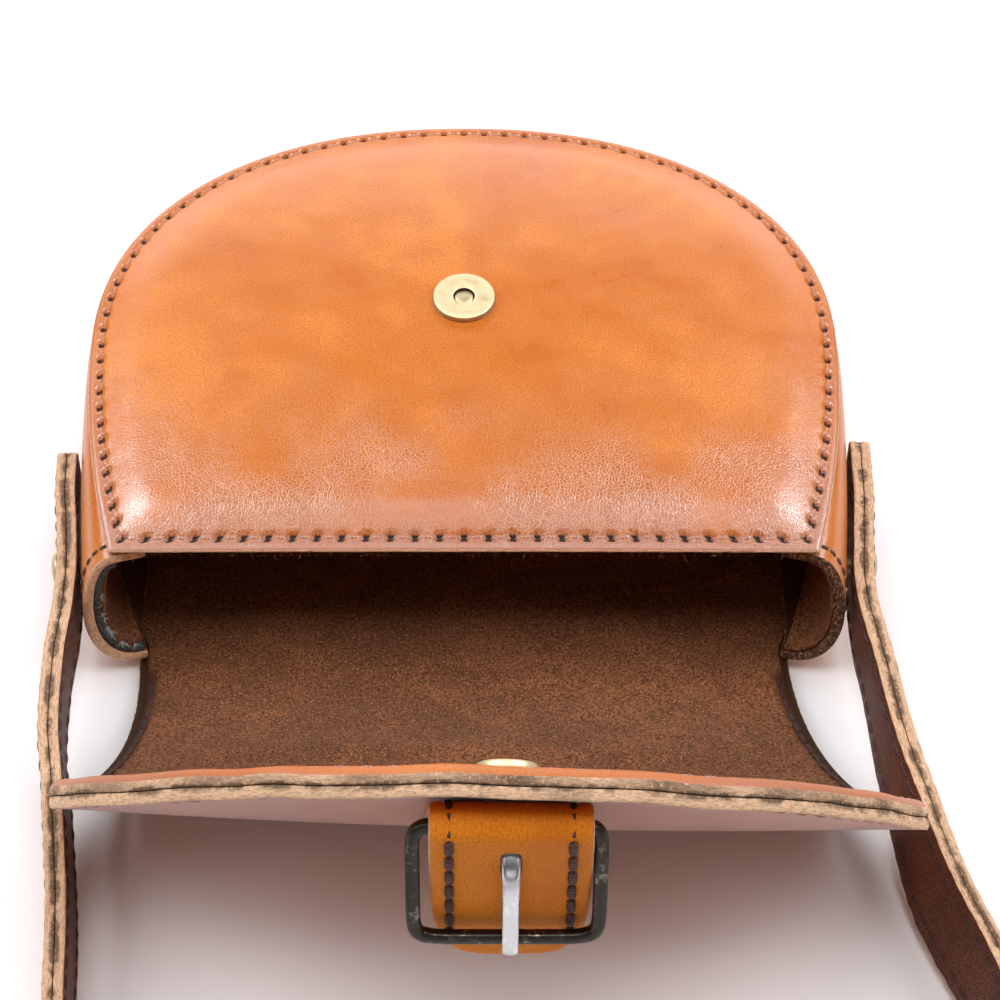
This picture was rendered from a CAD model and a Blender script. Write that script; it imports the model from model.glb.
import math

import bmesh
import bpy
import numpy as np
from bpy.props import FloatProperty, FloatVectorProperty, PointerProperty
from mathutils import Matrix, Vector


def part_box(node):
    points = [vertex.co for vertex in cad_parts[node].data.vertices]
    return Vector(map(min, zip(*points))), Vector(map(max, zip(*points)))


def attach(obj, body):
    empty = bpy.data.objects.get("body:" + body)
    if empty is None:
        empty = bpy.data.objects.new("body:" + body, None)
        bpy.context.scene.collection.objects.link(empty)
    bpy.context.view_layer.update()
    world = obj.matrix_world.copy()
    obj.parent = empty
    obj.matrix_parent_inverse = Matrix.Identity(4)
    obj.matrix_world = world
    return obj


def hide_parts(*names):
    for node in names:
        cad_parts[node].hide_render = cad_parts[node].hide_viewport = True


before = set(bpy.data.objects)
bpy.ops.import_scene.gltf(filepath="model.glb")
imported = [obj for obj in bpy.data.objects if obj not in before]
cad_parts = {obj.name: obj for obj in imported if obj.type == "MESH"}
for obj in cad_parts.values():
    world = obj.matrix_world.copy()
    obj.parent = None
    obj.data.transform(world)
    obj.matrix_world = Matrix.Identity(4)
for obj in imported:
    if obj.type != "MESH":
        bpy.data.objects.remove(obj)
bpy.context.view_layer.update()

bl_info = {
    "name": "Saddle Shoulder Bag",
    "version": (1, 0, 0),
    "blender": (4, 5, 0),
    "location": "View3D > Sidebar > Saddle Bag",
    "description": "Dresses the frame of a saddle-shaped shoulder bag in leather, suede, thread and metal",
    "category": "Object",
}

MM = 0.001
RNG_SEED = 7

# Materials of a leather wall, in the order of its material slots.
GRAIN, CUT, FLESH = 0, 1, 2

# Shares and powers of the outlines, the same as in the frame.
SIDE_SHARE = 0.19
ROUND_POWER = 2.2
ROUND = 2 / ROUND_POWER
MOUTH_RISE_SHARE = 0.08
BOW_POWER = 0.8
FLAP_SWAY = 0.07
DISH_SKEW = 0.75
DROOP_SKEW = 0.42
MOUTH_INSET = 1.3
CORNER_BLEND = 3.5 * MM
DISH_FROM, DISH_LENGTH = 40 * MM, 120 * MM

# Clear gap between neighbouring pieces.
GAP = 0.3 * MM

# Gusset: flanges turned in under the panels, narrow at the mouth, a mouth edge that slants forwards, and the
# room left for the lining of the back. It is shorter than the body is deep.
FLANGE = 8 * MM
FLANGE_AT_MOUTH = 0.8 * MM
FLANGE_TAPER = 0.08
FLANGE_INSET = 1.5 * MM
MOUTH_SLANT = 3.2 * MM
SET_BACK = 0.004
LINING_LAYER = 1.6 * MM
GUSSET_SHORT = 8 * MM

# Depth of each row of faces on a cut edge, on its flat map.
EDGE_STEP = 0.5 * MM

# One row for each bend of the strap's middle line, in millimetres, from its left end to its right end.
# lean is how far the upper edge tips outwards, in degrees.
STRAP_ROUTE = {
    "x": [-112.4, -112.0, -110.4, -109.6, -111.3, -111.4, -108.0, -105.8, -103.0, -96.0, -72.0, -24.0, 38.0,
          98.0, 136.0, 147.0, 140.0, 124.8, 120.6, 116.0, 113.4, 110.7, 110.8, 112.2, 112.9],
    "y": [-34, -51, -69, -86, -107, -126, -148, -170, -220, -288, -364, -412, -424,
          -396, -338, -272, -214, -168, -148, -126, -106, -84, -68, -49, -30],
    "z": [24.5, 24.5, 24.5, 23.6, 21.2, 18.4, 14.9, 12.6, 11.3, 11.1, 11.1, 11.1, 11.1,
          11.1, 11.2, 11.6, 12.2, 13.2, 15.0, 18.4, 21.2, 23.6, 24.5, 24.5, 24.5],
    "lean": [0, 0, 0, 0, 0, 1, 3, 3, 2, 0, 0, 0, 0, 0, 0, 6, 16, 20, 14, 7, 3, 0, 0, 0, 0],
}
RIVET_ROWS = {"rivet_left": 2, "rivet_right": 22}


def length(name, millimetres, description):
    """A length property with its default in millimetres."""
    return FloatProperty(
        name=name, description=description, default=millimetres * MM, unit="LENGTH", subtype="DISTANCE",
        precision=4,
    )


def colour(name, default, description):
    """A colour property, in linear red, green and blue."""
    return FloatVectorProperty(
        name=name, description=description, default=default, subtype="COLOR", size=3, min=0, max=1,
    )


class BagSizes(bpy.types.PropertyGroup):
    """Sizes of the bag, the same as the frame's own"""

    half_width: length("Panel Half Width", 106, "Half the width of the front and back at their widest")
    height: length("Panel Height", 161.5, "Height of the front and back from mouth to bottom")
    widest: length("Widest From Mouth", 74, "Distance from the mouth to the widest place")
    front_mouth: length("Front Mouth Half", 96, "Half the width of the front panel at the mouth")
    back_mouth: length("Back Mouth Half", 91, "Half the width of the back panel at the mouth")
    bow_mouth: length("Gusset Mouth Half", 105.5, "Half the width of the gusset at the mouth")
    bow_past: length("Gusset Bow", 3.2, "How far the gusset bows out past the panels")
    mouth_y: length("Mouth Place", -84, "Where the mouth lies along the bag")
    depth: length("Body Depth", 52, "Height of the front panel's sewn border above the table")
    leather: length("Leather", 3, "Thickness of the leather")
    rise: length("Front Rise", 5.6, "How far the middle of the front panel rises")
    rise_reach: length("Rise Reach", 72, "Distance from the edge over which the front panel rises")
    pillow: length("Sewn Pillow", 2.6, "How far the leather swells up beside the stitches")
    hinge_y: length("Hinge Place", -87, "Where the flap leaves the back panel")
    flap_length: length("Flap Length", 172, "Length of the flap past the hinge")
    flap_bend: length("Flap Bend", 74, "Length over which the flap bends up")
    flap_half: length("Flap Half Width", 113, "Half the width of the flap at its corners")
    flap_corner: length("Flap Corner", 75, "Distance from the hinge to the flap's corners")
    flap_dish: length("Flap Dish", 9, "How far the middle of the flap hollows")
    droop: length("Corner Droop", 6.5, "How far the flap's corners hang")
    stitch_inset: length("Stitch Inset", 2.9, "Distance of the stitches from the edge")
    thread: length("Thread", 0.4, "Radius of the sewing thread")
    snap_radius: length("Snap Radius", 8.8, "Radius of the snap's socket")
    stud_radius: length("Stud Radius", 7.6, "Radius of the snap's stud")
    tab_width: length("Tab Width", 38.5, "Width of the buckle tab")
    tab_thick: length("Tab Thickness", 2.6, "Thickness of the buckle tab")
    tab_hang: length("Tab Hang", 50, "Length of the tab below the buckle's bar")
    strap_width: length("Strap Width", 22, "Width of the shoulder strap")
    strap_layer: length("Strap Layer", 2.6, "Thickness of each layer of the strap")
    flap_rise: FloatProperty(
        name="Flap Rise", description="Angle at which the open flap stands", default=math.radians(55),
        subtype="ANGLE",
    )


class BagFinish(bpy.types.PropertyGroup):
    """Colours of the bag"""

    tan: colour("Tan", (0.64, 0.182, 0.010), "Main colour of the tan leather")
    tan_deep: colour("Deep Tan", (0.585, 0.148, 0.009), "Darker clouds in the tan leather")
    tan_light: colour("Light Tan", (0.76, 0.235, 0.013), "Lighter clouds in the tan leather")
    bloom: colour("Bloom", (0.41, 0.175, 0.105), "Pale rubbed leather along creases and edges")
    crease: colour("Crease", (0.86, 0.55, 0.40), "Pale lines where the tan leather has creased")
    dark_leather: colour("Dark Leather", (0.125, 0.03, 0.012), "Dyed inner layer of the strap")
    raw_edge: colour("Raw Edge", (0.88, 0.56, 0.345), "Cut edges of the leather")
    raw_dark: colour("Stained Edge", (0.15, 0.075, 0.036), "Stained and glued parts of the cut edges")
    suede: colour("Suede", (0.31, 0.116, 0.046), "Suede lining")
    suede_dark: colour("Suede Shadow", (0.19, 0.072, 0.030), "Suede brushed the other way")
    board: colour("Stiffener", (0.062, 0.066, 0.07), "Grey stiffener in the gusset")
    thread: colour("Thread", (0.47, 0.21, 0.13), "Sewing thread of the panels")
    dark_thread: colour("Dark Thread", (0.055, 0.019, 0.013), "Waxed thread of the tab and the strap")
    brass: colour("Brass", (0.52, 0.42, 0.245), "Snap and rivets")
    antique: colour("Antique Plating", (0.05, 0.043, 0.036), "Buckle frame")
    steel: colour("Steel", (0.62, 0.62, 0.63), "Buckle prong")


def clamp01(value):
    return np.clip(value, 0.0, 1.0)


def smooth(value):
    t = clamp01(value)
    return t * t * (3 - 2 * t)


def unit(vectors):
    """Vectors of length one, along the last axis."""
    size = np.linalg.norm(vectors, axis=-1, keepdims=True)
    return vectors / np.maximum(size, 1e-12)


def soft_noise(x, y, cell, seed):
    """Smooth random heights between -1 and 1 over a plane, with bumps about one cell apart."""
    table = np.random.default_rng(seed).uniform(-1, 1, (64, 64))
    u, v = x / cell, y / cell
    i, j = np.floor(u).astype(int), np.floor(v).astype(int)
    a, b = smooth(u - i), smooth(v - j)
    at = lambda p, q: table[p % 64, q % 64]
    low = at(i, j) * (1 - a) + at(i + 1, j) * a
    high = at(i, j + 1) * (1 - a) + at(i + 1, j + 1) * a
    return low * (1 - b) + high * b


def run_along(line):
    """Distance along an open line at each of its points."""
    return np.concatenate([[0], np.cumsum(np.linalg.norm(np.diff(line, axis=0), axis=1))])


def even_places(curve, count):
    """Places from 0 to 1 on a curve that lie evenly along its length."""
    fine = np.linspace(0, 1, 4001)
    run = run_along(curve(fine))
    return np.interp(np.linspace(0, run[-1], count), run, fine)


def outline_parts(along):
    """Parts of an outline that runs along one side, round an end and back along the other side: which side
    each place is on, whether it is on a side at all, how far along that it is, and its turn round the end."""
    half = np.minimum(along, 1 - along)
    side = np.where(along > 0.5, 1.0, -1.0)
    turn = (math.pi / 2) * clamp01((half - SIDE_SHARE) / (0.5 - SIDE_SHARE))
    return side, half < SIDE_SHARE, clamp01(half / SIDE_SHARE), turn


def d_curve(size, along, mouth_half, inset):
    """The sides and the round bottom of a D panel, from its left mouth corner to its right one."""
    side, straight, t, turn = outline_parts(along)
    widest = size.half_width - inset
    narrow = widest - (size.half_width - mouth_half) * (1 - t) ** 2
    x = np.where(straight, narrow, widest * np.abs(np.cos(turn)) ** ROUND)
    low = MOUTH_INSET * inset + (size.widest - MOUTH_INSET * inset) * t
    high = size.widest + (size.height - size.widest - inset) * np.sin(turn) ** ROUND
    return np.stack([side * x, size.mouth_y + np.where(straight, low, high)], axis=-1)


def round_share(along):
    """Share of its full half width that a round end keeps, from its start at 0 to its tip at 1."""
    return (1 - along**ROUND_POWER) ** (1 / ROUND_POWER)


def panel_half_width(size, from_mouth, mouth_half):
    """Half the width of a panel at a distance from its mouth."""
    short = np.maximum(0, size.widest - from_mouth) / size.widest
    past = clamp01((from_mouth - size.widest) / (size.height - size.widest))
    sides = size.half_width - (size.half_width - mouth_half) * short**2
    return np.where(from_mouth <= size.widest, sides, size.half_width * round_share(past))


def edge_distance(size, x, from_mouth):
    """Distance from the front panel's edge, with its two mouth corners rounded."""
    along = clamp01((from_mouth - size.widest) / (size.height - size.widest))
    half = np.where(along > 0, size.half_width, panel_half_width(size, from_mouth, size.front_mouth))
    share = (clamp01(np.abs(x) / half) ** ROUND_POWER + along**ROUND_POWER) ** (1 / ROUND_POWER)
    side = half * (1 - share)
    return -CORNER_BLEND * np.log(np.exp(-side / CORNER_BLEND) + np.exp(-from_mouth / CORNER_BLEND))


def front_height(size, x, y, inset):
    """Height of the front panel's grain side: sewn border, groove under the stitches, pillow and rise."""
    from_mouth = y - size.mouth_y
    across = clamp01(np.abs(x) / np.maximum(panel_half_width(size, from_mouth, size.front_mouth), 1e-5))
    mouth = 1 - (1 - MOUTH_RISE_SHARE) * (1 - clamp01(from_mouth / size.rise_reach)) ** 2
    bottom = 1 - (1 - clamp01((size.height - from_mouth) / size.rise_reach)) ** 2
    swell = size.rise * (1 - across**2.4) * mouth * bottom
    past = np.maximum(0, edge_distance(size, x, from_mouth) - size.stitch_inset)
    pull = 0.55 + 0.6 * np.exp(-from_mouth / (40 * MM))
    pillow = size.pillow * (1 - pull * np.exp(-((past / (7 * MM)) ** 2)))
    groove = 0.45 * MM * np.exp(-(((inset - size.stitch_inset) / (0.8 * MM)) ** 2))
    roll = 0.35 * MM * np.exp(-inset / (0.5 * MM))
    wrinkle = 0.05 * MM * soft_noise(x, y, 5 * MM, 3) + 0.09 * MM * soft_noise(x, y, 13 * MM, 4)
    return size.depth + swell + pillow - groove - roll + wrinkle * smooth(past / (3 * MM))


def flap_curve(size, along, inset):
    """Outline of the flap as across and past the hinge, from the left of the hinge to the right of it."""
    side, straight, t, turn = outline_parts(along)
    flare = size.back_mouth + (size.flap_half - size.back_mouth) * t**2 - inset
    x = np.where(straight, flare, (size.flap_half - inset) * np.abs(np.cos(turn)) ** ROUND)
    tip = size.flap_corner + (size.flap_length - size.flap_corner - inset) * np.sin(turn) ** ROUND
    return np.stack([side * x, np.where(straight, size.flap_corner * t, tip)], axis=-1)


def flap_half_width(size, past):
    """Half the width of the flap at a distance past the hinge."""
    flare = size.back_mouth + (size.flap_half - size.back_mouth) * (past / size.flap_corner) ** 2
    along = clamp01((past - size.flap_corner) / (size.flap_length - size.flap_corner))
    return np.where(past <= size.flap_corner, flare, size.flap_half * round_share(along))


def flap_point(size, past, across, up):
    """A point of the flap: past the hinge, across its middle line, and up from its grain side."""
    past, across, up = np.broadcast_arrays(past, across, up)
    radius = size.flap_bend / size.flap_rise
    turn = np.minimum(past, size.flap_bend) / radius
    straight = np.maximum(0, past - size.flap_bend)
    half = np.maximum(np.maximum(flap_half_width(size, np.maximum(past, 0)), np.abs(across)), 1e-6)
    place = clamp01((past - DISH_FROM) / DISH_LENGTH) ** DISH_SKEW
    dish = size.flap_dish * np.sin(math.pi * place) * (1 - (across / half) ** 2)
    side = across / size.flap_half
    droop = size.droop * (side * side + DROOP_SKEW * side) * smooth(past / size.flap_corner)
    lift = up - dish - droop
    y = size.hinge_y - radius * np.sin(turn) - straight * np.cos(turn) + lift * np.sin(turn)
    z = radius * (1 - np.cos(turn)) + straight * np.sin(turn) + lift * np.cos(turn)
    return np.stack([across + FLAP_SWAY * past, y, z], axis=-1)


def back_or_flap_point(size, flat, up):
    """A point of the one-piece back and flap, given as across and past the hinge."""
    across, past = flat[..., 0], flat[..., 1]
    on_flap = flap_point(size, np.maximum(past, 0), across, up)
    on_back = np.stack(np.broadcast_arrays(across, size.hinge_y - past, up), axis=-1)
    return np.where((past >= 0)[..., None], on_flap, on_back)


def gusset_face(size, along, depth, steps, flange_end):
    """A face of the gusset as a grid of points: along the outline, and from the front edge to the back."""
    top = size.depth - size.leather - GAP - depth
    bottom = size.leather + LINING_LAYER + depth
    middle, reach = (top + bottom) / 2, (top - bottom) / 2
    front = d_curve(size, along, size.front_mouth, 0)
    ahead = d_curve(size, np.minimum(1, along + SET_BACK), size.front_mouth, 0)
    behind = d_curve(size, np.maximum(0, along - SET_BACK), size.front_mouth, 0)
    run = unit(ahead - behind)
    normal = np.stack([-run[:, 1], run[:, 0]], axis=-1)
    bow = d_curve(size, along, size.bow_mouth + 0 * along, -size.bow_past)
    short = clamp01(1 - np.minimum(along, 1 - along) / SIDE_SHARE)
    bow[:, 0] -= np.sign(bow[:, 0]) * size.bow_past * short**2
    bow[short > 0, 1] = front[short > 0, 1]
    back = d_curve(size, along, size.back_mouth, 0)
    bow_out = np.sum((bow - front) * normal, axis=1) - depth
    back_out = np.sum((back - front) * normal, axis=1) - FLANGE_INSET
    near_mouth = np.minimum(along, 1 - along) / FLANGE_TAPER
    turn = math.pi * (0.5 - np.linspace(0, 1, steps))
    bulge = np.maximum(0, np.cos(turn)) ** BOW_POWER
    start = np.where(turn[None, :] > 0, -FLANGE_INSET, back_out[:, None])
    out = start + (bow_out[:, None] - start) * bulge[None, :]
    z = np.broadcast_to(middle + reach * np.sin(turn), out.shape)
    if flange_end:
        flange = FLANGE_AT_MOUTH + (FLANGE - FLANGE_AT_MOUTH) * smooth(near_mouth)
        out = np.concatenate([out[:, :1] - FLANGE, out, out[:, -1:] - flange[:, None]], axis=1)
        z = np.concatenate([z[:, :1], z, z[:, -1:]], axis=1)
    down = (top + depth - z) / (size.depth - GUSSET_SHORT)
    slant = MOUTH_SLANT * (1 - smooth(near_mouth))[:, None] * down
    x = front[:, :1] + normal[:, :1] * out
    y = front[:, 1:] + normal[:, 1:] * out - slant
    return np.stack([x, y, z], axis=-1)


def route_curve(column, places):
    """A smooth line through the strap's bends, with the named column as its height, as in the frame."""
    rows = np.stack([STRAP_ROUTE["x"], STRAP_ROUTE["y"], STRAP_ROUTE[column]], axis=-1).astype(float)
    rows = np.concatenate([[2 * rows[0] - rows[1]], rows, [2 * rows[-1] - rows[-2]]])
    at = np.clip(places, 0, 1) * (len(rows) - 3)
    i = np.minimum(at.astype(int), len(rows) - 4)
    w = (at - i)[:, None]
    p = [rows[i + k] for k in range(4)]
    gap = [np.sum((p[k + 1] - p[k]) ** 2, axis=1, keepdims=True) ** 0.25 for k in range(3)]
    t1 = (p[1] - p[0]) / gap[0] - (p[2] - p[0]) / (gap[0] + gap[1]) + (p[2] - p[1]) / gap[1]
    t2 = (p[2] - p[1]) / gap[1] - (p[3] - p[1]) / (gap[1] + gap[2]) + (p[3] - p[2]) / gap[2]
    t1, t2 = t1 * gap[1], t2 * gap[1]
    c2 = -3 * p[1] + 3 * p[2] - 2 * t1 - t2
    c3 = 2 * p[1] - 2 * p[2] + t1 + t2
    return p[1] + t1 * w + c2 * w**2 + c3 * w**3


def strap_frames(places):
    """Middle points of the strap with its upward and inward directions, in metres."""
    point = route_curve("z", places) * MM
    run = route_curve("z", places + 1e-4) - route_curve("z", places - 1e-4)
    run[:, 2] = 0
    run = unit(run)
    lean = np.radians(route_curve("lean", places)[:, 2])[:, None]
    inward = np.stack([-run[:, 1], run[:, 0], 0 * run[:, 0]], axis=-1)
    rise = np.array([0.0, 0.0, 1.0])
    up = rise * np.cos(lean) - inward * np.sin(lean)
    side = rise * np.sin(lean) + inward * np.cos(lean)
    return point, up, side


def add_piece(name, points, faces, zones, corners, marks, materials):
    """Makes a mesh object from points and faces, with a material for each face, a flat map and marks."""
    mesh = bpy.data.meshes.new(name)
    mesh.from_pydata(points.tolist(), [], faces if isinstance(faces, list) else faces.tolist())
    for material in materials:
        mesh.materials.append(material)
    mesh.polygons.foreach_set("material_index", np.asarray(zones, np.int32))
    mesh.polygons.foreach_set("use_smooth", np.ones(len(faces), bool))
    if corners is not None:
        layer = mesh.uv_layers.new(name="flat")
        layer.data.foreach_set("uv", np.asarray(corners, np.float32).ravel())
    for mark, values in marks.items():
        attribute = mesh.attributes.new(mark, "FLOAT", "POINT")
        attribute.data.foreach_set("value", np.asarray(values, np.float32))
    shape = bmesh.new()
    shape.from_mesh(mesh)
    bmesh.ops.recalc_face_normals(shape, faces=shape.faces)
    shape.to_mesh(mesh)
    shape.free()
    piece = bpy.data.objects.new(name, mesh)
    bpy.context.scene.collection.objects.link(piece)
    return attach(piece, "root")


def ring_faces(first, second, count):
    """Quads between two rings of points, given the number of each ring's first point."""
    i = np.arange(count)
    j = (i + 1) % count
    return np.stack([first + i, first + j, second + j, second + i], axis=-1)


def tube_faces(rings, count):
    """Quads between each ring of a tube and the next."""
    return np.concatenate([ring_faces(k * count, (k + 1) * count, count) for k in range(rings - 1)])


def rim_rings(top, top_in, low, low_in, steps, bulge, rough, seed):
    """Rings that round off the cut edge between a wall's two faces, with a little roughness."""
    out = unit(unit(top - top_in) + unit(low - low_in))
    rng = np.random.default_rng(seed)
    rings = []
    for t in (np.arange(steps - 1) + 1) / steps:
        swell = bulge * math.sin(math.pi * t) ** 0.6 + rough * rng.normal(0, 1, (len(top), 1))
        rings.append(top * (1 - t) + low * t + out * swell)
    return rings


def run_length(ring):
    """Distance along a closed ring at each of its points, and once more at its end."""
    return run_along(np.concatenate([ring, ring[:1]]))


def edge_map(along, row):
    """Flat map of one row of faces on a cut edge: along the edge, and down it in even steps."""
    down = 0 * along[1:] + row * EDGE_STEP
    near = np.stack([along[:-1], down], axis=-1)
    far = np.stack([along[1:], down], axis=-1)
    step = np.array([0, EDGE_STEP])
    return np.stack([near, far, far + step, near + step], axis=1)


def leather_piece(name, top, low, materials, flat, marks, hole=False, rim=None):
    """A piece cut to an outline. top and low are rings of points from the middle to the edge of each face.
    flat has the same rings as top on the flat hide; marks are values on top's rings, kept on the rim."""
    rim = {"steps": 6, "bulge": 0.35 * MM, "rough": 0.05 * MM, "glue": 0.0, **(rim or {})}
    glue = rim.pop("glue")
    count = len(top[0])
    edge = rim_rings(top[-1], top[-2], low[-1], low[-2], seed=RNG_SEED, **rim)
    rings = list(top) + edge + list(low[::-1])
    if hole:
        rings += rim_rings(low[0], low[1], top[0], top[1], seed=RNG_SEED + 1, **rim)
    points = np.concatenate(rings)
    values = {}
    for mark, on_top in marks.items():
        rows = [np.broadcast_to(row, count) for row in on_top]
        values[mark] = np.concatenate(rows + [rows[-1]] * (len(rings) - len(rows)))
    ramp = np.interp(np.arange(len(rings)), [len(top) - 1, len(top) + len(edge)], [0, glue])
    values["glue"] = np.repeat(ramp, count)
    flat_rings = list(flat) + [flat[-1]] * (len(rings) - len(flat))
    along = run_length(top[-1])
    faces, zones, corners = [], [], []
    last_top, last_edge = len(top) - 1, len(top) + len(edge)
    for k in range(len(rings) if hole else len(rings) - 1):
        after = (k + 1) % len(rings)
        faces.append(ring_faces(k * count, after * count, count))
        zone = CUT
        if k < last_top:
            zone = GRAIN
        elif last_edge <= k < last_edge + len(low) - 1:
            zone = FLESH
        zones += [zone] * count
        if zone == CUT:
            corners.append(edge_map(along, k - last_top))
        else:
            a, b = flat_rings[k], flat_rings[after]
            corners.append(np.stack([a, np.roll(a, -1, 0), np.roll(b, -1, 0), b], axis=1))
    faces = np.concatenate(faces)
    corners = np.concatenate(corners)
    if hole:
        return add_piece(name, points, faces, zones, corners.reshape(-1, 2), values, materials)
    ends = (GRAIN, FLESH)
    return capped_piece(name, points, faces, zones, corners, values, materials, count, ends, flat_rings[0])


def capped_piece(name, points, faces, zones, corners, values, materials, count, cap_zones, flat=None):
    """Closes the first and the last ring of a piece with a middle point each.
    flat is the first ring's flat map, where it isn't the ring as seen from above."""
    flat = points[:count, :2] if flat is None else flat
    first, last = points[:count], points[-count:]
    points = np.concatenate([points, [first.mean(0)], [last.mean(0)]])
    for mark in values:
        ends = [values[mark][:count].mean(), values[mark][-count:].mean()]
        values[mark] = np.concatenate([values[mark], ends])
    i = np.arange(count)
    j = (i + 1) % count
    top_point, low_point = len(points) - 2, len(points) - 1
    low_start = len(points) - 2 - count
    top_cap = np.stack([i, j, 0 * i + top_point], axis=-1)
    low_cap = np.stack([low_start + i, low_start + j, 0 * i + low_point], axis=-1)
    face_list = faces.tolist() + top_cap.tolist() + low_cap.tolist()
    zones = list(zones) + [cap_zones[0]] * count + [cap_zones[1]] * count
    flat_cap = np.stack([flat, np.roll(flat, -1, 0), 0 * flat + flat.mean(0)], axis=1).reshape(-1, 2)
    corners = np.concatenate([corners.reshape(-1, 2), flat_cap, flat_cap])
    return add_piece(name, points, face_list, zones, corners, values, materials)


def strip_piece(name, face, back, materials, marks=None, rim=None):
    """A wall between two grids of points: a strip of leather, suede or board with a rounded cut edge."""
    rim = {"steps": 6, "bulge": 0.3 * MM, "rough": 0.05 * MM, "glue": 0.0, **(rim or {})}
    glue = rim.pop("glue")
    marks = marks or {}
    rows, columns = face.shape[:2]
    number = np.arange(rows * columns).reshape(rows, columns)
    border = border_of(number)
    inside = border_of(number, 1)
    top, low = face.reshape(-1, 3), back.reshape(-1, 3)
    edge = rim_rings(top[border], top[inside], low[border], low[inside], seed=RNG_SEED, **rim)
    points = np.concatenate([top, low] + edge)
    quads = [number[:-1, :-1], number[:-1, 1:], number[1:, 1:], number[1:, :-1]]
    quads = np.stack(quads, axis=-1).reshape(-1, 4)
    shift = rows * columns
    rings = [border] + [2 * shift + k * len(border) + np.arange(len(border)) for k in range(len(edge))]
    rings.append(shift + border)
    faces, zones, corners = [quads, quads + shift], [GRAIN] * len(quads) + [FLESH] * len(quads), []
    flat = strip_map(face)
    corners += [flat[quads], flat[quads]]
    along = run_length(top[border])
    for k in range(len(rings) - 1):
        a, b = rings[k], rings[k + 1]
        faces.append(np.stack([a, np.roll(a, -1), np.roll(b, -1), b], axis=-1))
        zones += [CUT] * len(border)
        corners.append(edge_map(along, k))
    values = {}
    for mark, grid in marks.items():
        row = np.broadcast_to(grid, (rows, columns)).ravel()
        values[mark] = np.concatenate([row, row] + [row[border]] * len(edge))
    ramp = glue * (np.arange(len(edge)) + 1) / (len(edge) + 1)
    values["glue"] = np.concatenate([0 * top[:, 0], 0 * top[:, 0] + glue, np.repeat(ramp, len(border))])
    corners = np.concatenate(corners).reshape(-1, 2)
    return add_piece(name, points, np.concatenate(faces), zones, corners, values, materials)


def border_of(number, inwards=0):
    """Numbers round the border of a grid in order, or of the points next to them on the inside."""
    n = inwards
    return np.concatenate([
        number[n, :-1], number[:-1, -1 - n], number[-1 - n, :0:-1], number[:0:-1, n],
    ])


def strip_map(face):
    """Flat coordinates of a strip: distance along it, and distance across it."""
    grid = np.meshgrid(run_along(face.mean(1)), run_along(face.mean(0)), indexing="ij")
    return np.stack(grid, axis=-1).reshape(-1, 2)


def turned_piece(name, profile, seat, axis, materials, bands=None, segments=72):
    """A turned piece from radius and height pairs in millimetres, which stands on its seat.
    bands picks the material of each step."""
    angles = np.linspace(0, 2 * math.pi, segments, endpoint=False)
    rings = []
    for radius, height in np.asarray(profile) * MM:
        ring = [radius * np.cos(angles), radius * np.sin(angles), 0 * angles + height]
        rings.append(np.stack(ring, axis=-1))
    points = np.concatenate(rings)
    faces = tube_faces(len(rings), segments)
    corners = points[faces][..., :2]
    turn = np.array(Vector((0, 0, 1)).rotation_difference(Vector(axis)).to_matrix())
    points = points @ turn.T + np.asarray(seat)
    bands = bands or [0] * (len(rings) - 1)
    kinds = np.repeat(bands, segments)
    return capped_piece(name, points, faces, kinds, corners, {}, materials, segments, (bands[0], bands[-1]))


def tube_points(line, widths, heights, sideways, sides):
    """Rings of an oval tube along a line; sideways is the direction of its width at each point."""
    run = unit(np.gradient(line, axis=0))
    across = unit(sideways - run * np.sum(sideways * run, axis=1, keepdims=True))
    rise = np.cross(run, across)
    angles = np.linspace(0, 2 * math.pi, sides, endpoint=False)
    wide = across[:, None, :] * (widths[:, None] * np.cos(angles))[..., None]
    high = rise[:, None, :] * (heights[:, None] * np.sin(angles))[..., None]
    return line[:, None, :] + wide + high


def tube_piece(name, rings, materials, closed=False):
    """A tube through rings of points, closed into a loop or capped at both ends."""
    count = rings.shape[1]
    points = rings.reshape(-1, 3)
    faces = tube_faces(len(rings), count)
    if closed:
        faces = np.concatenate([faces, ring_faces((len(rings) - 1) * count, 0, count)])
    corners = points[faces][..., :2]
    zones = [0] * len(faces)
    if closed:
        return add_piece(name, points, faces, zones, corners.reshape(-1, 2), {}, materials)
    return capped_piece(name, points, faces, zones, corners, {}, materials, count, (0, 0))


def thread_lengths(holes, normals, radius, sink, sides=7, steps=9):
    """Points and faces of the thread between neighbouring holes, dipping into each hole."""
    start, end = holes[:-1], holes[1:]
    normal = unit(normals[:-1] + normals[1:])
    t = np.linspace(0, 1, steps)
    arch = 1 - np.abs(2 * t - 1) ** 2.6
    line = start[:, None] * (1 - t)[None, :, None] + end[:, None] * t[None, :, None]
    line = line + normal[:, None] * (radius * 0.35 - sink * (1 - arch))[None, :, None]
    across = unit(np.cross(end - start, normal))
    angles = np.linspace(0, 2 * math.pi, sides, endpoint=False)
    fat = radius * (0.72 + 0.28 * arch)
    fat[[0, -1]] = radius * 0.02
    wide = across[:, None, None] * (fat[:, None] * np.cos(angles))[None, :, :, None]
    high = normal[:, None, None] * (0.8 * fat[:, None] * np.sin(angles))[None, :, :, None]
    points = (line[:, :, None] + wide + high).reshape(-1, 3)
    one = tube_faces(steps, sides)
    faces = np.concatenate([one + m * steps * sides for m in range(len(start))])
    u = np.tile(np.repeat(np.arange(steps - 1), sides), len(start))
    v = np.tile(np.arange(sides), (steps - 1) * len(start))
    pitch = np.linalg.norm(end - start, axis=1).mean()
    a = np.stack([u, v], axis=-1)
    corners = np.stack([a, a + [0, 1], a + [1, 1], a + [1, 0]], axis=1) * [pitch / (steps - 1), 1 / sides]
    return points, faces, corners


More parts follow.
